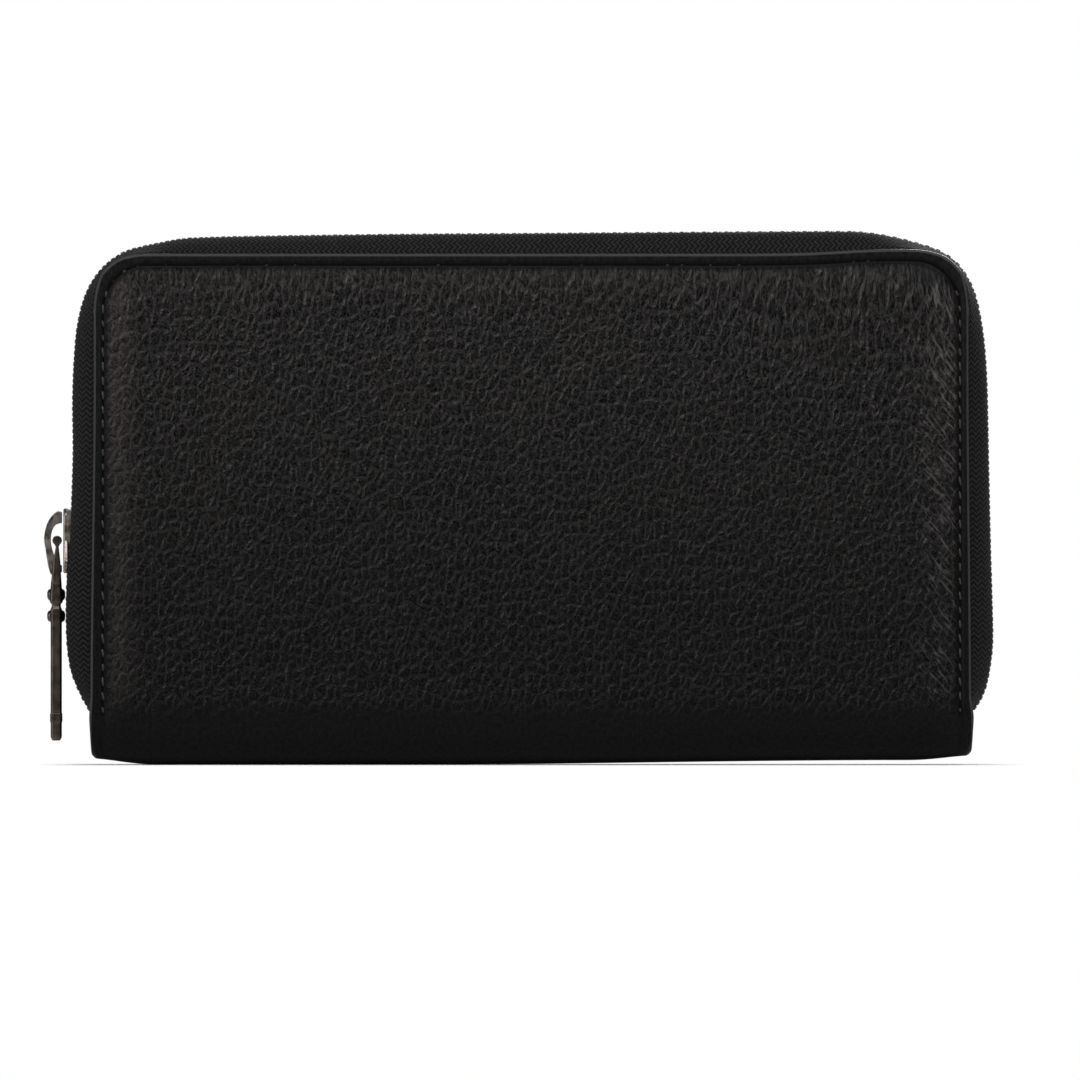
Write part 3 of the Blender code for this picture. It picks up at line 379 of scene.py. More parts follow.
def undulation(x, t, waves, scale):
    """Soft dents, the sum of a few long waves."""
    total = np.zeros(np.broadcast(x, t).shape)
    for angle, length, phase in waves:
        total += np.sin((x * cos(angle) + t * sin(angle)) * 2 * pi / length + phase)
    return scale * total / len(waves)


def long_waves(count, shortest, longest):
    return [
        (random.uniform(0, pi), random.uniform(shortest, longest), random.uniform(0, 6.3))
        for _ in range(count)
    ]


def top_of_column(x):
    """The height of the rounded outline over each column, inside the edge's roll."""
    radius = COVER_CORNER - EDGE_ROLL
    beyond = np.clip(np.abs(x) - (HALF_WIDTH - COVER_CORNER), 0.0, radius)
    return COVER_TOP - COVER_CORNER + np.sqrt(radius**2 - beyond**2)


def hide_columns():
    """Columns closer together near both sides, and at even steps round each corner's arc."""
    dense = HALF_WIDTH - DENSE_BAND
    start = HALF_WIDTH - EDGE_ROLL
    columns = chained(
        spaced(-start, -dense, RIM_STEP),
        spaced(-dense, dense, PANEL_STEP),
        spaced(dense, start, RIM_STEP),
    )
    centre = HALF_WIDTH - COVER_CORNER
    angles = np.linspace(0, pi / 2, CORNER_COLUMNS)
    arc = centre + (COVER_CORNER - EDGE_ROLL) * np.sin(angles)
    kept = columns[np.abs(columns) < centre - 0.5 * RIM_STEP]
    return np.concatenate([-arc[::-1], kept, arc])


def spine_section(x):
    """(y, z) of the rows from the middle of the spine to the fold."""
    inset = HALF_WIDTH - np.abs(x)
    end = 1 - smooth_step(inset / SPINE_END_REACH)
    corner = np.clip(1 - (inset - EDGE_ROLL) / SPINE_CORNER, 0, 1)
    low = SPINE_END_LIFT * end**1.5 + 0.7 * SPINE_CORNER * corner**2
    low = low + SPINE_RIGHT_LIFT * smooth_step((x + 30 * MM) / (110 * MM)) * (1 - 0.35 * end)
    depth = RIM_FACE + face_height(inset, inset, FOLD_GROOVE)
    flat = spaced(0.0, SPINE_FLAT, 1.0 * MM)[:-1]
    bend = np.linspace(0, pi / 2, BEND_ROWS)[:-1, None]
    fold_y = SPINE_FLAT + (depth - SPINE_FLAT) * np.sin(bend)
    fold_z = FOLD_HEIGHT - (FOLD_HEIGHT - low) * np.cos(bend)
    flat_y, flat_z = np.tile(flat[:, None], len(x)), np.tile(low, (len(flat), 1))
    return np.vstack([flat_y, fold_y]), np.vstack([flat_z, fold_z])


def cover_section(x):
    """(y, z) of the rows from the fold to the top of the cover."""
    top = COVER_TOP - EDGE_ROLL
    rise = chained(
        spaced(FOLD_HEIGHT, top - DENSE_BAND, PANEL_STEP),
        spaced(top - DENSE_BAND, top, RIM_STEP),
    )
    share = (rise - FOLD_HEIGHT) / (top - FOLD_HEIGHT)
    z = FOLD_HEIGHT + share[:, None] * (top_of_column(x) - FOLD_HEIGHT)
    groove = FOLD_GROOVE + (1 - FOLD_GROOVE) * smooth_step((z - FOLD_HEIGHT) / (3 * MM))
    panel = panel_inset(x, z)
    full = smooth_step((panel - SHOULDER_START) / (30 * MM))
    upright = smooth_step((z - FOLD_HEIGHT) / (20 * MM))
    waves = long_waves(7, 24 * MM, 70 * MM)
    dents = full * upright * (PANEL_CROWN + undulation(x, z, waves, 0.22 * MM))
    return RIM_FACE + face_height(edge_inset(x, z), panel, groove) + dents, z


def grain_height(x, z, grid, spine):
    """How far up the hide a point's grain lies: drawn out below the top edge."""
    along = measured(grid[:, len(x) // 2])[:, None]
    rows = np.arange(len(z))[:, None]
    height = np.where(rows < spine, along, along[spine] + z - FOLD_HEIGHT)
    band = LONG_GRAIN_BAND * (1 + LONG_GRAIN_RIGHT * smooth_step((x - 20 * MM) / (45 * MM)))
    nearing = np.clip(1 - (COVER_TOP - z) / band, 0, 1)
    return height - LONG_GRAIN * band * (nearing**3 - nearing**4 / 2)


def hide_marks(x, z, spine):
    """How pebbled and creased the leather is at each point, how much painted sheen its shoulder
    takes, and where the seam presses its groove, which is painted darker.
    """
    side = HALF_WIDTH - np.abs(x)
    inset = edge_inset(x, z)
    inset[:spine] = side
    from_patch = np.hypot(x - SMOOTH_PATCH[0], z - SMOOTH_PATCH[1])
    pebbled = smooth_step((inset - SHOULDER_START + 0.2 * MM) / (1.2 * MM))
    pebbled *= 0.12 + 0.88 * smooth_step((z - 9 * MM) / (7 * MM))
    pebbled *= 0.25 + 0.75 * smooth_step((from_patch - 1 * MM) / (4 * MM))
    # Painted sheen on the panel's shoulder, strongest at the left, where the light falls
    shoulder_sheen = np.where(x < 0, 1.0, 0.3) * bell(side - SHOULDER_START - 2.4 * MM, 2.9 * MM)
    shoulder_sheen = np.maximum(shoulder_sheen, 0.25 * bell(inset - SHOULDER_START - 2.4 * MM, 2.6 * MM))
    shoulder_sheen = shoulder_sheen * pebbled * smooth_step((z - 8 * MM) / (12 * MM))
    creased = bell(side - SHOULDER_START - 1.8 * MM, np.where(x > 0, 5.6 * MM, 3.4 * MM))
    creased = creased * np.where(x > 0, 1.0, 0.45) * pebbled
    creased = creased * smooth_step((z - 10 * MM) / (10 * MM))
    # The seam's groove, whose colour is painted darker as shade
    seam = bell(inset - SEAM_INSET, 0.5 * MM)
    seam[:spine] = 0.0
    return {"marks": grid_of(pebbled, shoulder_sheen, creased), "seam": grid_of(seam, seam, seam)}


def make_hide(word, side, nodes):
    """One leather hide: from the middle of the spine round the fold and up its cover."""
    x = hide_columns()
    sections = spine_section(x), cover_section(x)
    y, z = (np.vstack(rows) for rows in zip(*sections))
    spine = len(sections[0][0])
    grid = grid_of(leaned(x, z), side * y, swollen(x, z))
    place = grid_of(x, side * grain_height(x, z, grid, spine), 0.0)
    fields = {"place": place, **hide_marks(x, z, spine)}
    if side == BACK:
        grid = grid[:, ::-1]
        fields = {label: values[:, ::-1] for label, values in fields.items()}
    roll = np.where(border_loop(*grid.shape[:2])[0] == 0, 0.0, EDGE_ROLL)
    hide = grid_solid(f"{word}_hide", grid, LEATHER, "leather", roll, fields)
    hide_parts(*nodes)
    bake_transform(hide)


# --- Stitching ----------------------------------------------------------------


def seam_places():
    """(x, z, direction x, direction z) of the cover's stitches, from the left fold round."""
    radius = COVER_CORNER - SEAM_INSET
    straight = COVER_TOP - COVER_CORNER - STITCH_END
    arc = 0.5 * pi * radius
    total = 2 * (straight + arc + HALF_WIDTH - COVER_CORNER)
    count = int(total / STITCH_PITCH)
    for number in range(count):
        s = (number + 0.5) * total / count
        mirrored = s > total / 2
        s = min(s, total - s)
        if s < straight:
            x, z, dx, dz = -HALF_WIDTH + SEAM_INSET, STITCH_END + s, 0.0, 1.0
        elif s < straight + arc:
            angle = (s - straight) / radius
            x = -HALF_WIDTH + COVER_CORNER - radius * cos(angle)
            z = COVER_TOP - COVER_CORNER + radius * sin(angle)
            dx, dz = sin(angle), cos(angle)
        else:
            x = -HALF_WIDTH + COVER_CORNER + s - straight - arc
            z, dx, dz = COVER_TOP - SEAM_INSET, 1.0, 0.0
        x, z = leaned(x, z), swollen(x if not mirrored else -x, z)
        yield (-x, z, dx, -dz) if mirrored else (x, z, dx, dz)


def run_places(*runs):
    """The same for straight runs, each from (x, z) to (x, z)."""
    for (x0, z0), (x1, z1) in runs:
        length = hypot(x1 - x0, z1 - z0)
        dx, dz = (x1 - x0) / length, (z1 - z0) / length
        count = int(length / STITCH_PITCH)
        for number in range(count):
            s = (number + 0.5) * length / count
            yield x0 + dx * s, z0 + dz * s, dx, dz


def stitch_points(x, z, dx, dz, depth, side):
    """The points of one stitch: a short thread that dips into the leather at its two ends."""
    points = []
    length = STITCH_LENGTH * random.uniform(0.8, 1.06)
    slant = STITCH_SLANT * random.uniform(0.3, 1.6)
    depth -= random.uniform(0.0, 0.18) * MM + TOP_STITCH_SINK * abs(dx)
    for ring in range(STITCH_RINGS):
        share = ring / (STITCH_RINGS - 1)
        along, aside = (share - 0.5) * length, slant * (share - 0.5) * 2
        bow = sin(pi * share)
        radius = THREAD * (0.45 + 0.55 * bow**0.5)
        level = depth + (0.36 * bow - 0.34) * MM
        for corner in range(SIDES):
            angle = 2 * pi * corner / SIDES
            out = aside + radius * cos(angle)
            y = side * (level + radius * sin(angle))
            points.append((x + dx * along - dz * out, y, z + dz * along + dx * out))
    return points


def make_stitching(name, places, depth, side, body):
    vertices, faces = [], []
    for place in places:
        faces += bar_faces(len(vertices), STITCH_RINGS)
        vertices += stitch_points(*place, depth, side)
    loose_piece(name, vertices, faces, "thread", body)


# --- Main zip -----------------------------------------------------------------


def chain_stations(step):
    """(way, place, tangent, outward) along the chain's middle line, at even steps."""
    path = catmull(np.array(CHAIN_ROUTE) * MM, 24)
    lengths = measured(path)
    wanted = np.linspace(0, lengths[-1], int(lengths[-1] / step) + 1)
    place = np.stack([np.interp(wanted, lengths, path[:, axis]) for axis in (0, 1)], axis=1)
    tangent = unit(np.gradient(place, axis=0))
    outward = np.stack([-tangent[:, 1], tangent[:, 0]], axis=1)
    return wanted, place, tangent, outward


def row_spread(place):
    """How far each row stands aside: open below the slider on the left."""
    share = (SPREAD_NECK - place[:, 1]) / (SPREAD_NECK - SPREAD_MOUTH)
    return np.where(place[:, 0] < 0, ROW_SPREAD * smooth_step(share), 0.0)


def cover_edge(place, inset):
    """The point of a cover's rounded outline, moved in by inset, nearest to each place."""
    core_x = np.clip(place[:, 0], -HALF_WIDTH + COVER_CORNER, HALF_WIDTH - COVER_CORNER)
    core_z = np.minimum(place[:, 1], COVER_TOP - COVER_CORNER)
    core = np.stack([core_x, core_z], axis=1)
    x, z = (core + unit(place - core) * (COVER_CORNER - inset)).T
    return np.stack([leaned(x, z), swollen(x, z)], axis=1)


def make_tape(word, side):
    """A woven tape from the seam under the rim, out past the edge and up to the teeth."""
    along, place, _, outward = chain_stations(1.5 * MM)
    spread = row_spread(place)
    sewn, edge = cover_edge(place, TAPE_SEWN_INSET), cover_edge(place, TAPE_EDGE_INSET)
    sewn_depth = np.full_like(spread, RIM_FACE - LEATHER - 0.3 * MM)
    waves = long_waves(5, 9 * MM, 30 * MM)
    knee_depth = TAPE_KNEE_DEPTH + 0.5 * spread + undulation(along, 0.0, waves, 0.22 * MM)
    tip_depth = TOOTH_HEEL + 0.35 * MM + spread
    controls = [
        (sewn, sewn_depth),
        (edge, sewn_depth + 0.05 * MM),
        (0.35 * edge + 0.65 * place, knee_depth),
        (place + TAPE_BULGE * outward, tip_depth + 1.5 * MM),
        (place + 0.4 * TAPE_BULGE * outward, tip_depth + 0.4 * MM),
        (place, tip_depth - 0.3 * MM),
    ]
    rows = [grid_of(spot[:, 0], side * depth, spot[:, 1]) for spot, depth in controls]
    grid = np.stack([catmull(section, 4) for section in np.stack(rows, axis=1)], axis=1)
    if side == FRONT:
        grid = grid[::-1]
    weave = {"place": grid_of(along, measured(grid[:, len(along) // 2])[:, None], 0.0)}
    tape = grid_solid(f"{word}_woven_tape", grid, TAPE, "zip_tape", 0.15 * MM, weave, rim=1)
    seat(tape, word, "zip_tape", f"{word}_zip_tape")


def make_cord(word, side):
    """The corded edge of a tape, which the teeth are clamped on."""
    _, place, _, _ = chain_stations(1.2 * MM)
    path = grid_of(place[:, 0], side * (CORD_DEPTH + row_spread(place)), place[:, 1])
    tangents = unit(np.gradient(path, axis=0))
    aside = unit(np.cross(tangents, (0.0, 1.0, 0.0)))
    upward = np.cross(aside, tangents)
    angles = 2 * pi * np.arange(SIDES)[:, None] / SIDES
    ring = aside[:, None] * np.cos(angles) + upward[:, None] * np.sin(angles)
    points = (path[:, None] + CORD_RADIUS * ring).reshape(-1, 3).tolist()
    mesh = new_mesh(f"{word}_tape_cord", points, bar_faces(0, len(path)))
    seat(new_piece(mesh.name, mesh, "zip_tape"), word, "zip_tape")


TOOTH_PROFILE = [  # (depth from the chain's middle, half height, half length) of one tooth
    (-TOOTH_REACH, 0.30, 0.55),
    (-TOOTH_REACH + 0.18 * MM, 0.72, 0.85),
    (-0.05 * MM, 0.92, 1.0),
    (0.45 * MM, 0.80, 0.82),
    (0.95 * MM, 0.86, 0.82),
    (1.35 * MM, 1.0, 1.0),
    (TOOTH_HEEL - 0.2 * MM, 1.0, 1.0),
    (TOOTH_HEEL, 0.86, 0.8),
]


def make_teeth(word, side):
    """A row of clamped metal teeth, half a pitch from the other row."""
    _, place, tangent, outward = chain_stations(TOOTH_PITCH / 2)
    chosen = slice(1 if side == FRONT else 2, len(place) - 1, 2)
    place, tangent, outward = place[chosen], tangent[chosen], outward[chosen]
    vertices, faces = [], []
    for p, t, o, spread in zip(place, tangent, outward, row_spread(place)):
        faces += bar_faces(len(vertices), len(TOOTH_PROFILE))
        for depth, tall, length in TOOTH_PROFILE:
            vertices += tooth_ring(p, t, o, side * (depth + spread), tall, length)
    teeth = loose_piece(f"{word}_metal_teeth", vertices, faces, "zip_teeth", word)
    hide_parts(f"{word}_zip_teeth")


def tooth_ring(p, t, o, y, tall, length):
    """Eight corners of a tooth's section, its edges eased."""
    half_tall, half_long = TOOTH_HEIGHT / 2 * tall, TOOTH_LENGTH / 2 * length
    eased = 0.32 * min(half_tall, half_long)
    corners = [
        (half_long - eased, -half_tall), (half_long, -half_tall + eased),
        (half_long, half_tall - eased), (half_long - eased, half_tall),
        (eased - half_long, half_tall), (-half_long, half_tall - eased),
        (-half_long, eased - half_tall), (eased - half_long, -half_tall),
    ]
    return [(p[0] + t[0] * a + o[0] * b, y, p[1] + t[1] * a + o[1] * b) for a, b in corners]


# --- Inside -------------------------------------------------------------------


def layer_grid(low, high, facing, corner, relief):
    """A grid over the face of a flat node that looks along facing, its top corners rounded."""
    x = spaced(low.x + LAYER_ROLL, high.x - LAYER_ROLL, LAYER_STEP)
    radius = corner - LAYER_ROLL
    beyond = np.clip(np.abs(x) - (high.x - corner), 0, radius)
    column_top = high.z - corner + np.sqrt(radius**2 - beyond**2)
    bottom = low.z + LAYER_ROLL
    share = spaced(0.0, 1.0, LAYER_STEP / (high.z - bottom))[:, None]
    z = bottom + share * (column_top - bottom)
    face = high.y if facing > 0 else low.y
    grid = grid_of(x, face - facing * (LAYER_RELIEF - relief(x, z, column_top - z)), z)
    return grid[:, ::-1] if facing > 0 else grid


def hemmed(seams):
    """A relief with a turned hem along the top and pressed seams at the given places."""
    waves = long_waves(5, 30 * MM, 80 * MM)

    def relief(x, z, below_top):
        hem = LAYER_RELIEF * smooth_step((HEM_TURN - below_top) / (0.8 * MM))
        lines = bell(below_top - HEM_SEAM, 0.5 * MM)
        for place in seams:
            lines = np.maximum(lines, bell(x - place, 0.6 * MM))
        soft = undulation(x, z, waves, 0.25 * LAYER_RELIEF)
        return np.minimum(0.4 * LAYER_RELIEF + 0.6 * hem + soft, LAYER_RELIEF) - 0.1 * MM * lines

    return relief


def make_layer(name, node, facing, body, look, corner=6.0 * MM, seams=()):
    """A flat inner piece: hem, pressed seams and soft dents, in place of its plain solid."""
    low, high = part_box(node)
    grid = layer_grid(low, high, facing, corner, hemmed(seams))
    layer = grid_solid(name, grid, high.y - low.y - 1.5 * LAYER_RELIEF, look, LAYER_ROLL)
    seat(layer, body, look, node)
    return layer, grid


def make_strips(word, side):
    """The three stepped card strips, each with a hem and a seam down its middle."""
    for number in (1, 2, 3):
        node = f"{word}_card_strip_{number}"
        name = f"{word}_card_slots_{number}"
        make_layer(name, node, -side, word, "inner_leather", seams=(0.0,))
        low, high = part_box(node)
        depth = -min(abs(low.y), abs(high.y)) - 0.22 * MM
        line, end = high.z - HEM_SEAM, high.x - 7 * MM
        middle = ((0.0, low.z + 2 * MM), (0.0, line - 2 * MM))
        places = run_places(((-end, line), (end, line)), middle)
        make_stitching(f"{word}_card_stitches_{number}", places, depth, -side, word)


def make_pad(word, side):
    """A foam pad: full over its middle, thin along its edges, flat on the lining."""
    node = f"{word}_padding"
    low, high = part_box(node)
    full = high.y - low.y

    def relief(x, z, below_top):
        inset = np.minimum(np.minimum(high.x - np.abs(x), below_top), z - low.z)
        share = np.clip(inset / PAD_SHOULDER, 0, 1)
        swell = PAD_EDGE + (full - PAD_EDGE) * (1 - (1 - share) ** 3)
        return swell - full + LAYER_RELIEF

    grid = layer_grid(low, high, side, PAD_CORNER, relief)
    pad = grid_solid(f"{word}_foam_pad", grid, PAD_EDGE, "foam", 0.2 * MM)
    count = grid.shape[0] * grid.shape[1]
    for vertex in pad.data.vertices[count : 2 * count]:
        vertex.co.y = side * min(abs(low.y), abs(high.y))
    seat(pad, word, "foam", node)


def make_gusset(word, side, hand, end):
    """A cloth gusset, folded inwards."""
    node = f"{word}_{hand}_gusset"
    low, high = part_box(node)
    near, far = sorted((abs(low.y), abs(high.y)))
    near, far = near + 0.5 * GUSSET, far - 0.5 * GUSSET
    edge = max(abs(low.x), abs(high.x)) - 0.5 * GUSSET
    deepest = abs(high.x - low.x) - GUSSET
    rows = []
    for z in spaced(low.z - GUSSET_DROP, high.z - 0.2 * MM, 2 * MM):
        share = max(z - low.z, 0.0) / (high.z - low.z)
        deep = GUSSET_LEAST + share * (deepest - GUSSET_LEAST)
        wave = 0.12 * MM * sin(z * 2 * pi / (23 * MM))
        middle = edge - 0.5 * deep
        section = [
            (edge, near), (middle, near + 0.38 * (far - near) + wave),
            (edge - deep, (near + far) / 2),
            (middle, far - 0.38 * (far - near) + wave), (edge, far),
        ]
        rows.append([(end * x, side * y, z) for x, y in catmull(section, 6)])
    grid = np.array(rows)
    if side * end > 0:
        grid = grid[:, ::-1]
    name = f"{word}_{hand}_fold"
    gusset = grid_solid(name, grid, 0.7 * GUSSET, "lining", 0.06 * MM, rim=1)
    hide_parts(node)
    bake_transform(gusset)


def make_spine_lining():
    """The trough of lining cloth between the two folds."""
    low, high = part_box("spine_lining")
    half, floor = high.y - 0.1 * MM, low.z + SPINE_CLOTH
    wall = half - SPINE_CLOTH
    right = [
        (half - 4.2 * MM, floor), (wall - 1.6 * MM, floor + 0.9 * MM),
        (wall, high.z - 2 * MM), (wall, high.z),
    ]
    profile = catmull([(-y, z) for y, z in reversed(right)] + [(0.0, floor)] + right, 5)
    x = spaced(low.x + 0.2 * MM, high.x - 0.2 * MM, 2.5 * MM)
    y, z = profile[:, :1], profile[:, 1:]
    z = z + undulation(x, y, long_waves(4, 25 * MM, 60 * MM), 0.05 * MM)
    grid = grid_of(x, y, np.minimum(z, high.z))
    thickness = 0.8 * SPINE_CLOTH
    lining = grid_solid("spine_lining_cloth", grid, thickness, "lining", 0.1 * MM, rim=1)
    seat(lining, "core", "lining", "spine_lining")


def make_coin_tape(word, side):
    """The short tape that carries one row of the coin pocket's teeth."""
    node = f"coin_zip_{word}_tape"
    low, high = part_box(node)
    near, far = sorted((abs(low.y), abs(high.y)))
    half = 0.25 * MM
    section = [
        (near + half, low.z + 0.05 * MM), (near + 1.2 * MM, low.z + 1.3 * MM),
        (far - half, low.z + 2.4 * MM), (far - half - 0.05 * MM, high.z - 0.05 * MM),
    ]
    profile = catmull(section, 5)
    x = spaced(low.x + 0.2 * MM, high.x - 0.2 * MM, 1.5 * MM)
    y, z = side * profile[:, :1], profile[:, 1:]
    grid, spot = grid_of(x, y, z), grid_of(x, z - low.z, 0.0)
    if side == BACK:
        grid, spot = grid[:, ::-1], spot[:, ::-1]
    name, weave = f"coin_{word}_tape", {"place": spot}
    tape = grid_solid(name, grid, 0.3 * MM, "zip_tape", 0.05 * MM, weave, rim=1)
    seat(tape, "core", "zip_tape", node)


def make_inside(word, side):
    make_pad(word, side)
    name, node = f"{word}_lining_cloth", f"{word}_lining"
    lining, grid = make_layer(name, node, -side, word, "lining", corner=10.9 * MM)
    name, node = f"{word}_card_backing", f"{word}_card_panel"
    make_layer(name, node, -side, word, "inner_leather", corner=8.3 * MM)
    make_strips(word, side)
    name, node = f"coin_{word}_cloth", f"coin_pocket_{word}_wall"
    wall, grid = make_layer(name, node, side, "core", "lining")
    make_coin_tape(word, side)
    for hand, end in (("left", -1), ("right", 1)):
        make_gusset(word, side, hand, end)


# --- Metal pieces -------------------------------------------------------------


def cast_copy(name, node, slot, body, voxel):
    """The node's form with the softened edges of a casting."""
    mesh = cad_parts[node].data.copy()
    mesh.materials.clear()
    piece = new_piece(name, mesh, "dark_nickel" if body == "puller" else slot)
    remesh = piece.modifiers.new("Casting", "REMESH")
    remesh.mode = "VOXEL"
    remesh.voxel_size = voxel * MM
    eased = piece.modifiers.new("Tumbled", "SMOOTH")
    eased.factor = 0.5
    eased.iterations = 3
    graph = bpy.context.evaluated_depsgraph_get()
    cast = bpy.data.meshes.new_from_object(piece.evaluated_get(graph))
    piece.modifiers.clear()
    piece.data = cast
    cast.shade_smooth()
    seat(piece, body, slot, node)


# --- Materials ----------------------------------------------------------------


def set_inputs(node, inputs):
    """Sets inputs of a shader node. A signal is linked, and a colour may be three numbers."""
    for key, value in inputs.items():
        socket = node.inputs[key]
        if isinstance(value, Signal):
            node.id_data.links.new(value.socket, socket)
        elif socket.type == "RGBA":
            socket.default_value = (*value, 1)
        else:
            socket.default_value = value


def add_node(tree, kind, inputs=None, **settings):
    node = tree.nodes.new("ShaderNode" + kind)
    for key, value in settings.items():
        setattr(node, key, value)
    set_inputs(node, inputs or {})
    return node


class Signal:
    """One output of a shader node. Its arithmetic and its methods add the nodes they need."""

    def __init__(self, node, output=0):
        self.socket = node.outputs[output]

    def then(self, kind, inputs, output=0, **settings):
        node = add_node(self.socket.id_data, kind, inputs, **settings)
        return Signal(node, output)

    def maths(self, operation, other=0.0, **settings):
        return self.then("Math", {0: self, 1: other}, operation=operation, **settings)

    def __add__(self, other):
        return self.maths("ADD", other)

    def __sub__(self, other):
        return self.maths("SUBTRACT", other)

    def __mul__(self, other):
        return self.maths("MULTIPLY", other)

    def vector(self, operation, other=(0, 0, 0), output=0):
        return self.then("VectorMath", {0: self, 1: other}, output, operation=operation)

    def part(self, axis):
        return self.then("SeparateXYZ", {0: self}, axis)

    def ramp(self, low, high, to_low=0.0, to_high=1.0):
        """A smooth step of a value between two levels."""
        inputs = dict(enumerate((self, low, high, to_low, to_high)))
        return self.then("MapRange", inputs, interpolation_type="SMOOTHSTEP")

    def mix(self, one, two):
        """From one colour to the other as this value goes from 0 to 1."""
        return self.then("Mix", {0: self, 6: one, 7: two}, 2, data_type="RGBA")

    def noise(self, scale, detail=2.0, roughness=0.5, output="Fac"):
        inputs = {"Vector": self, "Scale": scale, "Detail": detail, "Roughness": roughness}
        return self.then("TexNoise", inputs, output)

    def stretched(self, scale):
        return self.then("Mapping", {"Vector": self, "Scale": scale})

    def warped(self, scale, amount):
        """The vector pushed about by a noise, so that a pattern isn't regular."""
        push = self.noise(scale, 1.0, output="Color").vector("SUBTRACT", (0.5, 0.5, 0.5))
        return self.vector("ADD", push.vector("MULTIPLY", (amount, amount, amount)))

    def bump(self, strength, distance):
        return self.then("Bump", {"Strength": strength, "Distance": distance, "Height": self})


def attribute(tree, name):
    return Signal(add_node(tree, "Attribute", attribute_name=name), "Vector")


def own_place(tree):
    """The place of a point in its piece's own frame."""
    return Signal(add_node(tree, "TexCoord"), "Object")


def camera_ray(tree):
    """1 where the camera looks, and 0 for the light."""
    return Signal(add_node(tree, "LightPath"), "Is Camera Ray")


def make_material(name, look, *sizes):
    """A material. Its look, a function, gives the inputs of the main shader."""
    material = bpy.data.materials.new(name)
    material.use_nodes = True
    tree = material.node_tree
    set_inputs(tree.nodes["Principled BSDF"], look(tree, *sizes))
    return material


def leather(tree):
    """Black pebbled leather: dark grains in a paler net, smoother on the hem and the spine, with
    painted light and shade in its colour.
    """
    place, marks = attribute(tree, "place"), attribute(tree, "marks")
    edge_highlight, seam = attribute(tree, "edge_highlight").part(0), attribute(tree, "seam").part(0)
    pebbled, shoulder_sheen, creased = (marks.part(axis) for axis in range(3))
    loose = place.warped(260, 1.5 * MM).warped(1500, 0.85 * MM)
    net, dome = grain_net(loose, GRAIN_STRETCH, LARGE_GRAIN)
    fine, small = grain_net(loose, FINE_STRETCH, FINE_GRAIN)
    relief = small * SMALL_GRAIN + dome
    # The grain's sides that face up and to the left are painted lighter as glints, and the
    # others darker as shade
    grain_facing_light = relief - shifted_relief(loose, place)
    patchy = place.noise(420).ramp(0.34, 0.66, 0.35, 1.0)
    glint = grain_facing_light.ramp(0.05, 0.8) * patchy
    # The net between the grains is painted paler: partly the grain's own net, partly a painted
    # highlight on the grains' edges
    line = net.maths("MAXIMUM", fine) * 0.42 + glint
    line = line.maths("MULTIPLY", pebbled, use_clamp=True)
    painted_grain_shade = grain_facing_light.ramp(-0.55, -0.02, 1.0, 0.0) * pebbled
    # Crease ridges are painted lighter as highlights, and furrows darker as shade
    ridges, shaded_furrows = (crease * creased for crease in crease_lines(place))
    ridges = ridges * patchy
    broad = place.noise(38).ramp(0.35, 0.68)
    black = broad.mix((0.0014, 0.0013, 0.0015), (0.0029, 0.0027, 0.0025))
    mottled = place.noise(1300, 3.0).ramp(0.35, 0.65)
    even = mottled.mix((0.0050, 0.0051, 0.0057), (0.0108, 0.0108, 0.0115))
    # Painted shade darkens the seam's groove
    colour = seam.mix(pebbled.mix(even, black), (0.0014, 0.0014, 0.0016))
    # Painted warm sheen on the shoulder; the net's painted glints are warmer there too
    warm_sheen = shoulder_sheen * fine.ramp(0.0, 1.0, 0.5, 1.0)
    colour = warm_sheen.mix(colour, (0.025, 0.0215, 0.0200))
    # Painted shade on the grain's sides that face away from the light
    colour = (painted_grain_shade * 0.9).mix(colour, (0.001, 0.001, 0.001))
    colour = (shaded_furrows * 0.9).mix(colour, (0.002, 0.002, 0.002))
    # Colour of the painted highlight on the net, warmer where the shoulder's painted sheen lies
    net_glint_colour = shoulder_sheen.mix((0.062, 0.0590, 0.0572), (0.078, 0.071, 0.066))
    # Colour of the painted highlight on the crease ridges
    ridge_highlight_colour = shoulder_sheen.mix((0.125, 0.122, 0.121), (0.074, 0.067, 0.062))
    colour = (ridges * 0.8).mix(line.mix(colour, net_glint_colour), ridge_highlight_colour)
    # Painted shade: the colour darker towards the bottom, where less light falls
    lower_shade = place.part(1).maths("ABSOLUTE").ramp(0.025, 0.115, 0.42, 0.0)
    colour = lower_shade.mix(colour, (0.0015, 0.0015, 0.0016))
    height = relief * pebbled + ridges * 0.8 + place.noise(5200) * 0.14
    return {
        # The rolled edge painted paler as a highlight
        "Base Color": edge_highlight.ramp(0.1, 0.9, 0.0, 0.9).mix(colour, (0.046, 0.044, 0.044)),
        "Roughness": pebbled.ramp(0.0, 1.0, 0.30, 0.40) + broad * 0.07 + line * 0.12,
        "Normal": height.bump(1.0, 0.20 * MM),
        "Specular IOR Level": LEATHER_GLOSS,
    }


def shifted_relief(loose, place):
    """The grain's relief a little way up and to the left, to find the sides that face there,
    which the leather's colour paints lighter as highlight, and the others darker as shade.
    """
    up = place.part(1).maths("SIGN") * (0.17 * MM)
    moved = loose.vector("ADD", up.then("CombineXYZ", {0: -0.13 * MM, 1: up}))
    dome = grain_net(moved, GRAIN_STRETCH, LARGE_GRAIN)[1]
    return grain_net(moved, FINE_STRETCH, FINE_GRAIN)[1] * SMALL_GRAIN + dome


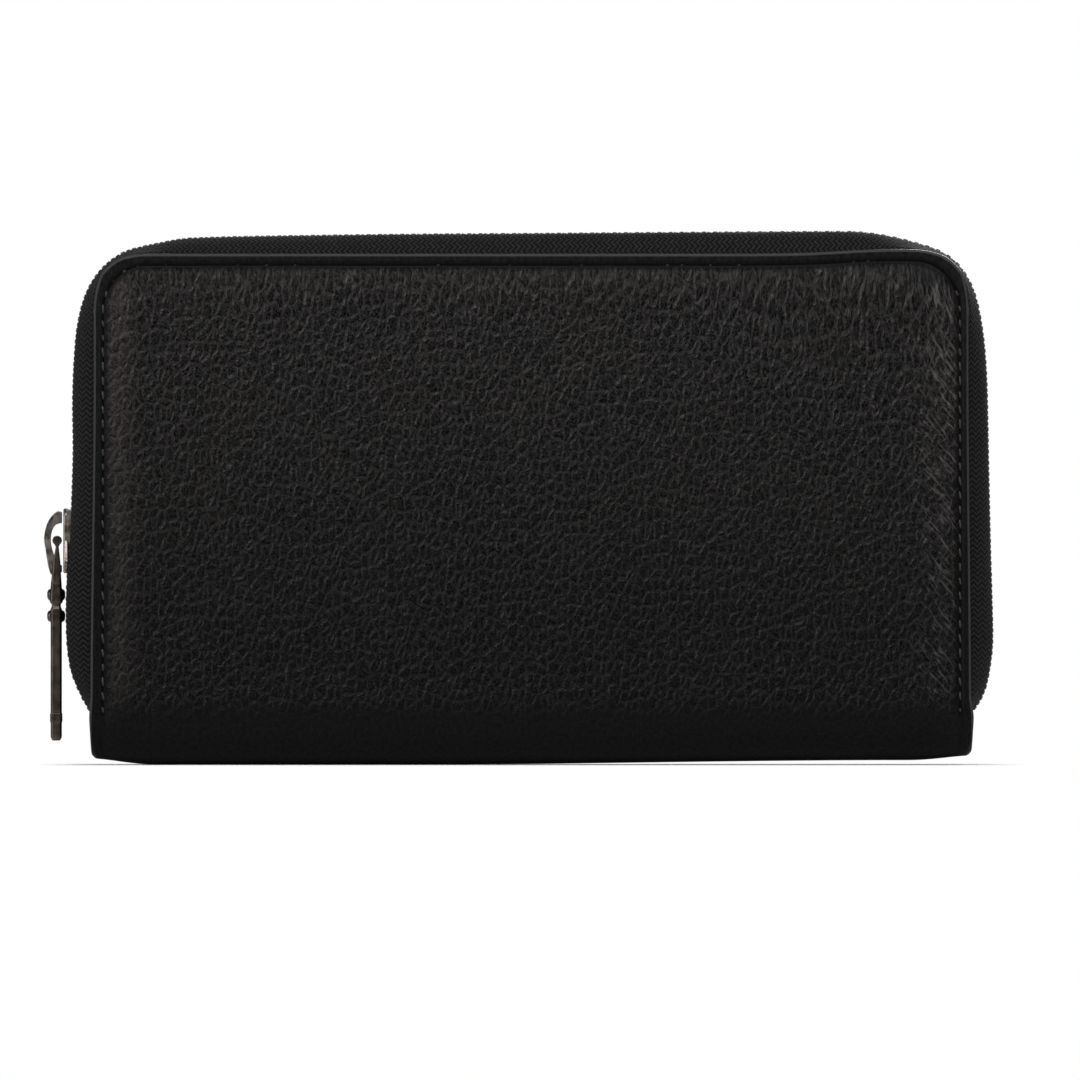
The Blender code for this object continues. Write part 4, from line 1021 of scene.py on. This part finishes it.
def grain_net(vector, stretch, scale):
    """(the uneven lines between the grains, the domed grains) of a leather."""
    inputs = {"Vector": vector.stretched(stretch), "Scale": scale, "Randomness": 1.0}
    cells = {"voronoi_dimensions": "2D", "feature": "DISTANCE_TO_EDGE"}
    edges = vector.then("TexVoronoi", inputs, "Distance", **cells)
    width = vector.noise(1.6 * scale, 3.0).ramp(0.34, 0.66, 0.04, 0.30)
    broken = vector.noise(3.1 * scale).ramp(0.36, 0.62, 0.25, 1.0)
    return edges.ramp(0.0, width, 1.0, 0.0) * broken, edges.ramp(0.0, 0.3)


def crease_lines(place):
    """(ridges, furrows) across the edge of the panel, rising inwards from the stitches."""
    bent = place.vector("ABSOLUTE").warped(60, 2.8 * MM).warped(420, 0.75 * MM)
    size = (1 / 230, 1 / 1650, 1)
    inputs = {"Vector": bent, "Rotation": (0, 0, -CREASE_SLANT), "Scale": size}
    folds = bent.then("Mapping", inputs, vector_type="TEXTURE").noise(1.0, 3.0, 0.6)
    return folds.ramp(0.52, 0.61), folds.ramp(0.38, 0.49, 1.0, 0.0)


def tape_weave(tree):
    """Black herringbone zip tape."""
    place = attribute(tree, "place")
    bent = place.warped(900, 0.25 * MM)
    along, across = bent.part(0), bent.part(1)
    slant = along + across.maths("PINGPONG", 1.1 * MM) * 0.9
    rib = (slant * (2 * pi / (1.15 * MM))).maths("SINE").ramp(-0.5, 0.7)
    thread = (across * (2 * pi / (0.3 * MM))).maths("SINE")
    fuzz = place.noise(1700, 3.0)
    depth = rib * fuzz.ramp(0.34, 0.66, 0.35, 1.0)
    return {
        "Base Color": depth.mix((0.0008, 0.0008, 0.0010), (0.0190, 0.0182, 0.0186)),
        "Normal": (thread * 0.12 + rib).bump(0.9, 0.10 * MM),
        "Roughness": fuzz.ramp(0.3, 0.7, 0.72, 0.9),
        "Specular IOR Level": 0.12,
        "Sheen Weight": 0.04,
        "Sheen Roughness": 0.4,
    }


def waxed_thread(tree):
    """Black thread with a fine twist."""
    twist = own_place(tree).stretched((1, 1, 1.4)).noise(2400)
    return {
        "Base Color": twist.ramp(0.3, 0.7).mix((0.009, 0.0088, 0.009), (0.036, 0.034, 0.032)),
        "Normal": twist.bump(0.6, 0.06 * MM),
        "Roughness": twist.ramp(0.3, 0.7, 0.38, 0.55),
        "Specular IOR Level": 0.3,
    }


def aged_metal(tree, light, dark, brushed, roughness):
    """Brushed lines along Z, with darker smudges."""
    spot = own_place(tree)
    lines = spot.stretched((9000, 9000, 260)).noise(1.0)
    smudge = spot.noise(420, 4.0, 0.6)
    paler_share = (lines * brushed + smudge).ramp(0.38 + 0.4 * brushed, 0.66 + 0.55 * brushed)
    return {
        "Base Color": paler_share.mix(dark, light),
        "Roughness": smudge.ramp(0.3, 0.7, roughness - 0.07, roughness + 0.1),
        "Normal": lines.bump(0.35 * brushed, 0.05 * MM),
        "Metallic": 1.0,
    }


def soft_stuff(tree, light, dark, scale, roughness, relief):
    """A foam, cloth or leather of fine grain, for the pieces inside."""
    spot = own_place(tree)
    grain, broad = spot.noise(scale, 3.0), spot.noise(60)
    return {
        "Base Color": (broad * 0.6 + grain * 0.4).ramp(0.35, 0.65).mix(dark, light),
        "Normal": grain.bump(0.7, relief),
        "Roughness": grain.ramp(0.3, 0.7, roughness - 0.08, roughness + 0.06),
        "Specular IOR Level": 0.2,
    }


def paper(tree):
    fleck = own_place(tree).noise(30)
    colour = fleck.mix((0.78, 0.78, 0.78), (0.82, 0.82, 0.82))
    return {"Base Color": colour, "Roughness": 0.9, "Specular IOR Level": 0.0}


def make_materials():
    """The materials by slot, and one more for the puller."""
    materials = {}
    for key, name, look, *sizes in (
        ("leather", "pebbled_leather", leather),
        ("zip_tape", "woven_tape", tape_weave),
        ("thread", "waxed_thread", waxed_thread),
        ("zip_teeth", "gunmetal", aged_metal,
         (0.125, 0.117, 0.110), (0.024, 0.024, 0.024), 0.2, 0.34),
        ("dark_nickel", "dark_nickel", aged_metal,
         (0.105, 0.089, 0.078), (0.055, 0.047, 0.041), 0.6, 0.33),
        ("nickel", "aged_nickel", aged_metal,
         (0.34, 0.306, 0.28), (0.11, 0.096, 0.088), 0.6, 0.3),
        ("foam", "foam", soft_stuff,
         (0.22, 0.22, 0.20), (0.15, 0.15, 0.14), 3000, 0.9, 0.1 * MM),
        ("lining", "lining_cloth", soft_stuff,
         (0.024, 0.023, 0.023), (0.012, 0.012, 0.013), 3500, 0.82, 0.05 * MM),
        ("inner_leather", "inner_leather", soft_stuff,
         (0.016, 0.015, 0.015), (0.009, 0.009, 0.009), 1800, 0.5, 0.05 * MM),
    ):
        materials[key] = make_material(name, look, *sizes)
    return materials


MATERIALS = make_materials()


# --- Scene --------------------------------------------------------------------

PIXELS = 1080
PIXELS_PER_METRE = 4650.0
PHOTO_MIDDLE_X = 531.5  # the wallet's middle line in the photograph
PHOTO_GROUND = 765.0  # the resting face in the photograph
CAMERA_DISTANCE = 9.0
SENSOR = 36.0
FLOOR_REACH = 6.0
PAPER_REACH = 0.04  # how far from the wallet's foot the paper shows


def make_camera():
    """A level, distant camera in front of the cover, framed as the photograph is."""
    data = bpy.data.cameras.new("camera")
    data.sensor_width = SENSOR
    data.lens = SENSOR * CAMERA_DISTANCE * PIXELS_PER_METRE / PIXELS
    data.clip_end = 50.0
    camera = linked("camera", data)
    camera.location = (
        (PIXELS / 2 - PHOTO_MIDDLE_X) / PIXELS_PER_METRE,
        -PANEL_FACE - CAMERA_DISTANCE,
        (PHOTO_GROUND - PIXELS / 2) / PIXELS_PER_METRE,
    )
    camera.rotation_euler = (pi / 2, 0, 0)
    bpy.context.scene.camera = camera


def make_light(name, place, aim, size, power, colour=(1, 1, 1)):
    """A softbox that looks at a height over the middle of the floor."""
    data = bpy.data.lights.new(name, "AREA")
    data.shape = "RECTANGLE"
    data.size, data.size_y = size
    data.energy = power
    data.color = colour
    light = linked(name, data)
    light.location = place
    light.visible_camera = False
    direction = Vector((0, 0, aim)) - Vector(place)
    light.rotation_euler = direction.to_track_quat("-Z", "Y").to_euler()


def floor_material():
    """Pale paper. Near the object it is lit as it is, and farther out it turns white."""
    material = make_material("floor_paper", paper)
    tree = material.node_tree
    away = reach_from_foot(own_place(tree)).ramp(0.0, PAPER_REACH)
    white = Signal(add_node(tree, "Emission"))
    lit = Signal(tree.nodes["Principled BSDF"])
    mixed = away.then("MixShader", {0: away * camera_ray(tree), 1: lit, 2: white})
    set_inputs(tree.nodes["Material Output"], {"Surface": mixed})
    return material


def reach_from_foot(spot):
    """How far a point of the floor lies from the rectangle that the wallet stands on.

    A step aside counts three times, so that the paper turns white soon beyond both ends.
    """
    beyond = spot.vector("ABSOLUTE").vector("SUBTRACT", (HALF_WIDTH, PANEL_FACE, 0.0))
    outside = beyond.vector("MAXIMUM").vector("MULTIPLY", (3, 1, 1))
    return outside.vector("LENGTH", output="Value")


def make_stage():
    """A paper floor, and no backdrop: the white world stands behind it from every side."""
    ends = (-FLOOR_REACH, FLOOR_REACH)
    corners = [(x, y, 0) for y in ends for x in ends]
    floor = linked("floor", new_mesh("floor", corners, [(0, 1, 3, 2)]))
    floor.data.materials.append(floor_material())


def make_world():
    """A dim room for the light, and white where the camera looks."""
    world = bpy.data.worlds.new("studio")
    world.use_nodes = True
    bpy.context.scene.world = world
    tree = world.node_tree
    tree.nodes.clear()
    room = add_node(tree, "Background", {"Color": (0.9, 0.95, 1.0), "Strength": 0.12})
    white = add_node(tree, "Background", {"Color": (1, 1, 1)})
    mixed = {0: camera_ray(tree), 1: Signal(room), 2: Signal(white)}
    surface = Signal(add_node(tree, "MixShader", mixed))
    add_node(tree, "OutputWorld", {"Surface": surface})


def make_lights():
    make_light("top_softbox", (0, -0.26, 0.40), 0.06, (0.8, 0.22), 2.35)
    make_light("left_softbox", (-0.9, -0.5, 0.3), 0.05, (0.35, 0.6), 3.6, (1.0, 0.97, 0.94))
    make_light("right_softbox", (1.0, -0.7, 0.3), 0.05, (0.4, 0.6), 2.2, (1.0, 0.98, 0.96))
    make_light("back_softbox", (0.3, 0.85, 0.5), 0.05, (0.7, 0.35), 6.5)


# --- Assembly -----------------------------------------------------------------


def make_side(word, side):
    nodes = [f"{word}_cover"] + (["spine_leather"] if side == FRONT else [])
    make_hide(word, side, nodes)
    depth = RIM_FACE - GROOVE_DEPTH + 0.1 * MM
    make_stitching(f"{word}_stitching", seam_places(), depth, side, word)
    make_tape(word, side)
    make_cord(word, side)
    make_teeth(word, side)


def make_castings():
    """Slider, pullers and stops, with the voxel size of each in millimetres."""
    for name, node, slot, body, voxel in (
        ("cast_slider", "slider_body", "nickel", "slider", 0.13),
        ("cast_crown", "slider_crown", "nickel", "slider", 0.10),
        ("cast_puller", "zip_puller", "nickel", "puller", 0.14),
        ("cast_coin_slider", "coin_slider", "nickel", "coin_slider", 0.14),
        ("cast_coin_pull", "coin_pull", "nickel", "coin_pull", 0.14),
        ("front_stop_clip", "front_zip_end_stop", "zip_teeth", "front", 0.12),
        ("back_stop_clip", "back_zip_end_stop", "zip_teeth", "back", 0.12),
        ("start_stop_clip", "zip_start_stop", "zip_teeth", "back", 0.12),
    ):
        cast_copy(name, node, slot, body, voxel)


def dress_frame():
    """Procedural materials for the CAD nodes that show as they are."""
    for name in ("coin_zip_front_teeth", "coin_zip_back_teeth"):
        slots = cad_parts[name].data.materials
        slots.clear()
        slots.append(MATERIALS["nickel"])


bpy.context.scene.view_settings.view_transform = "Standard"
make_camera()
make_world()
make_stage()
make_lights()
make_spine_lining()
for cover, side in (("front", FRONT), ("back", BACK)):
    make_side(cover, side)
    make_inside(cover, side)
make_castings()
dress_frame()
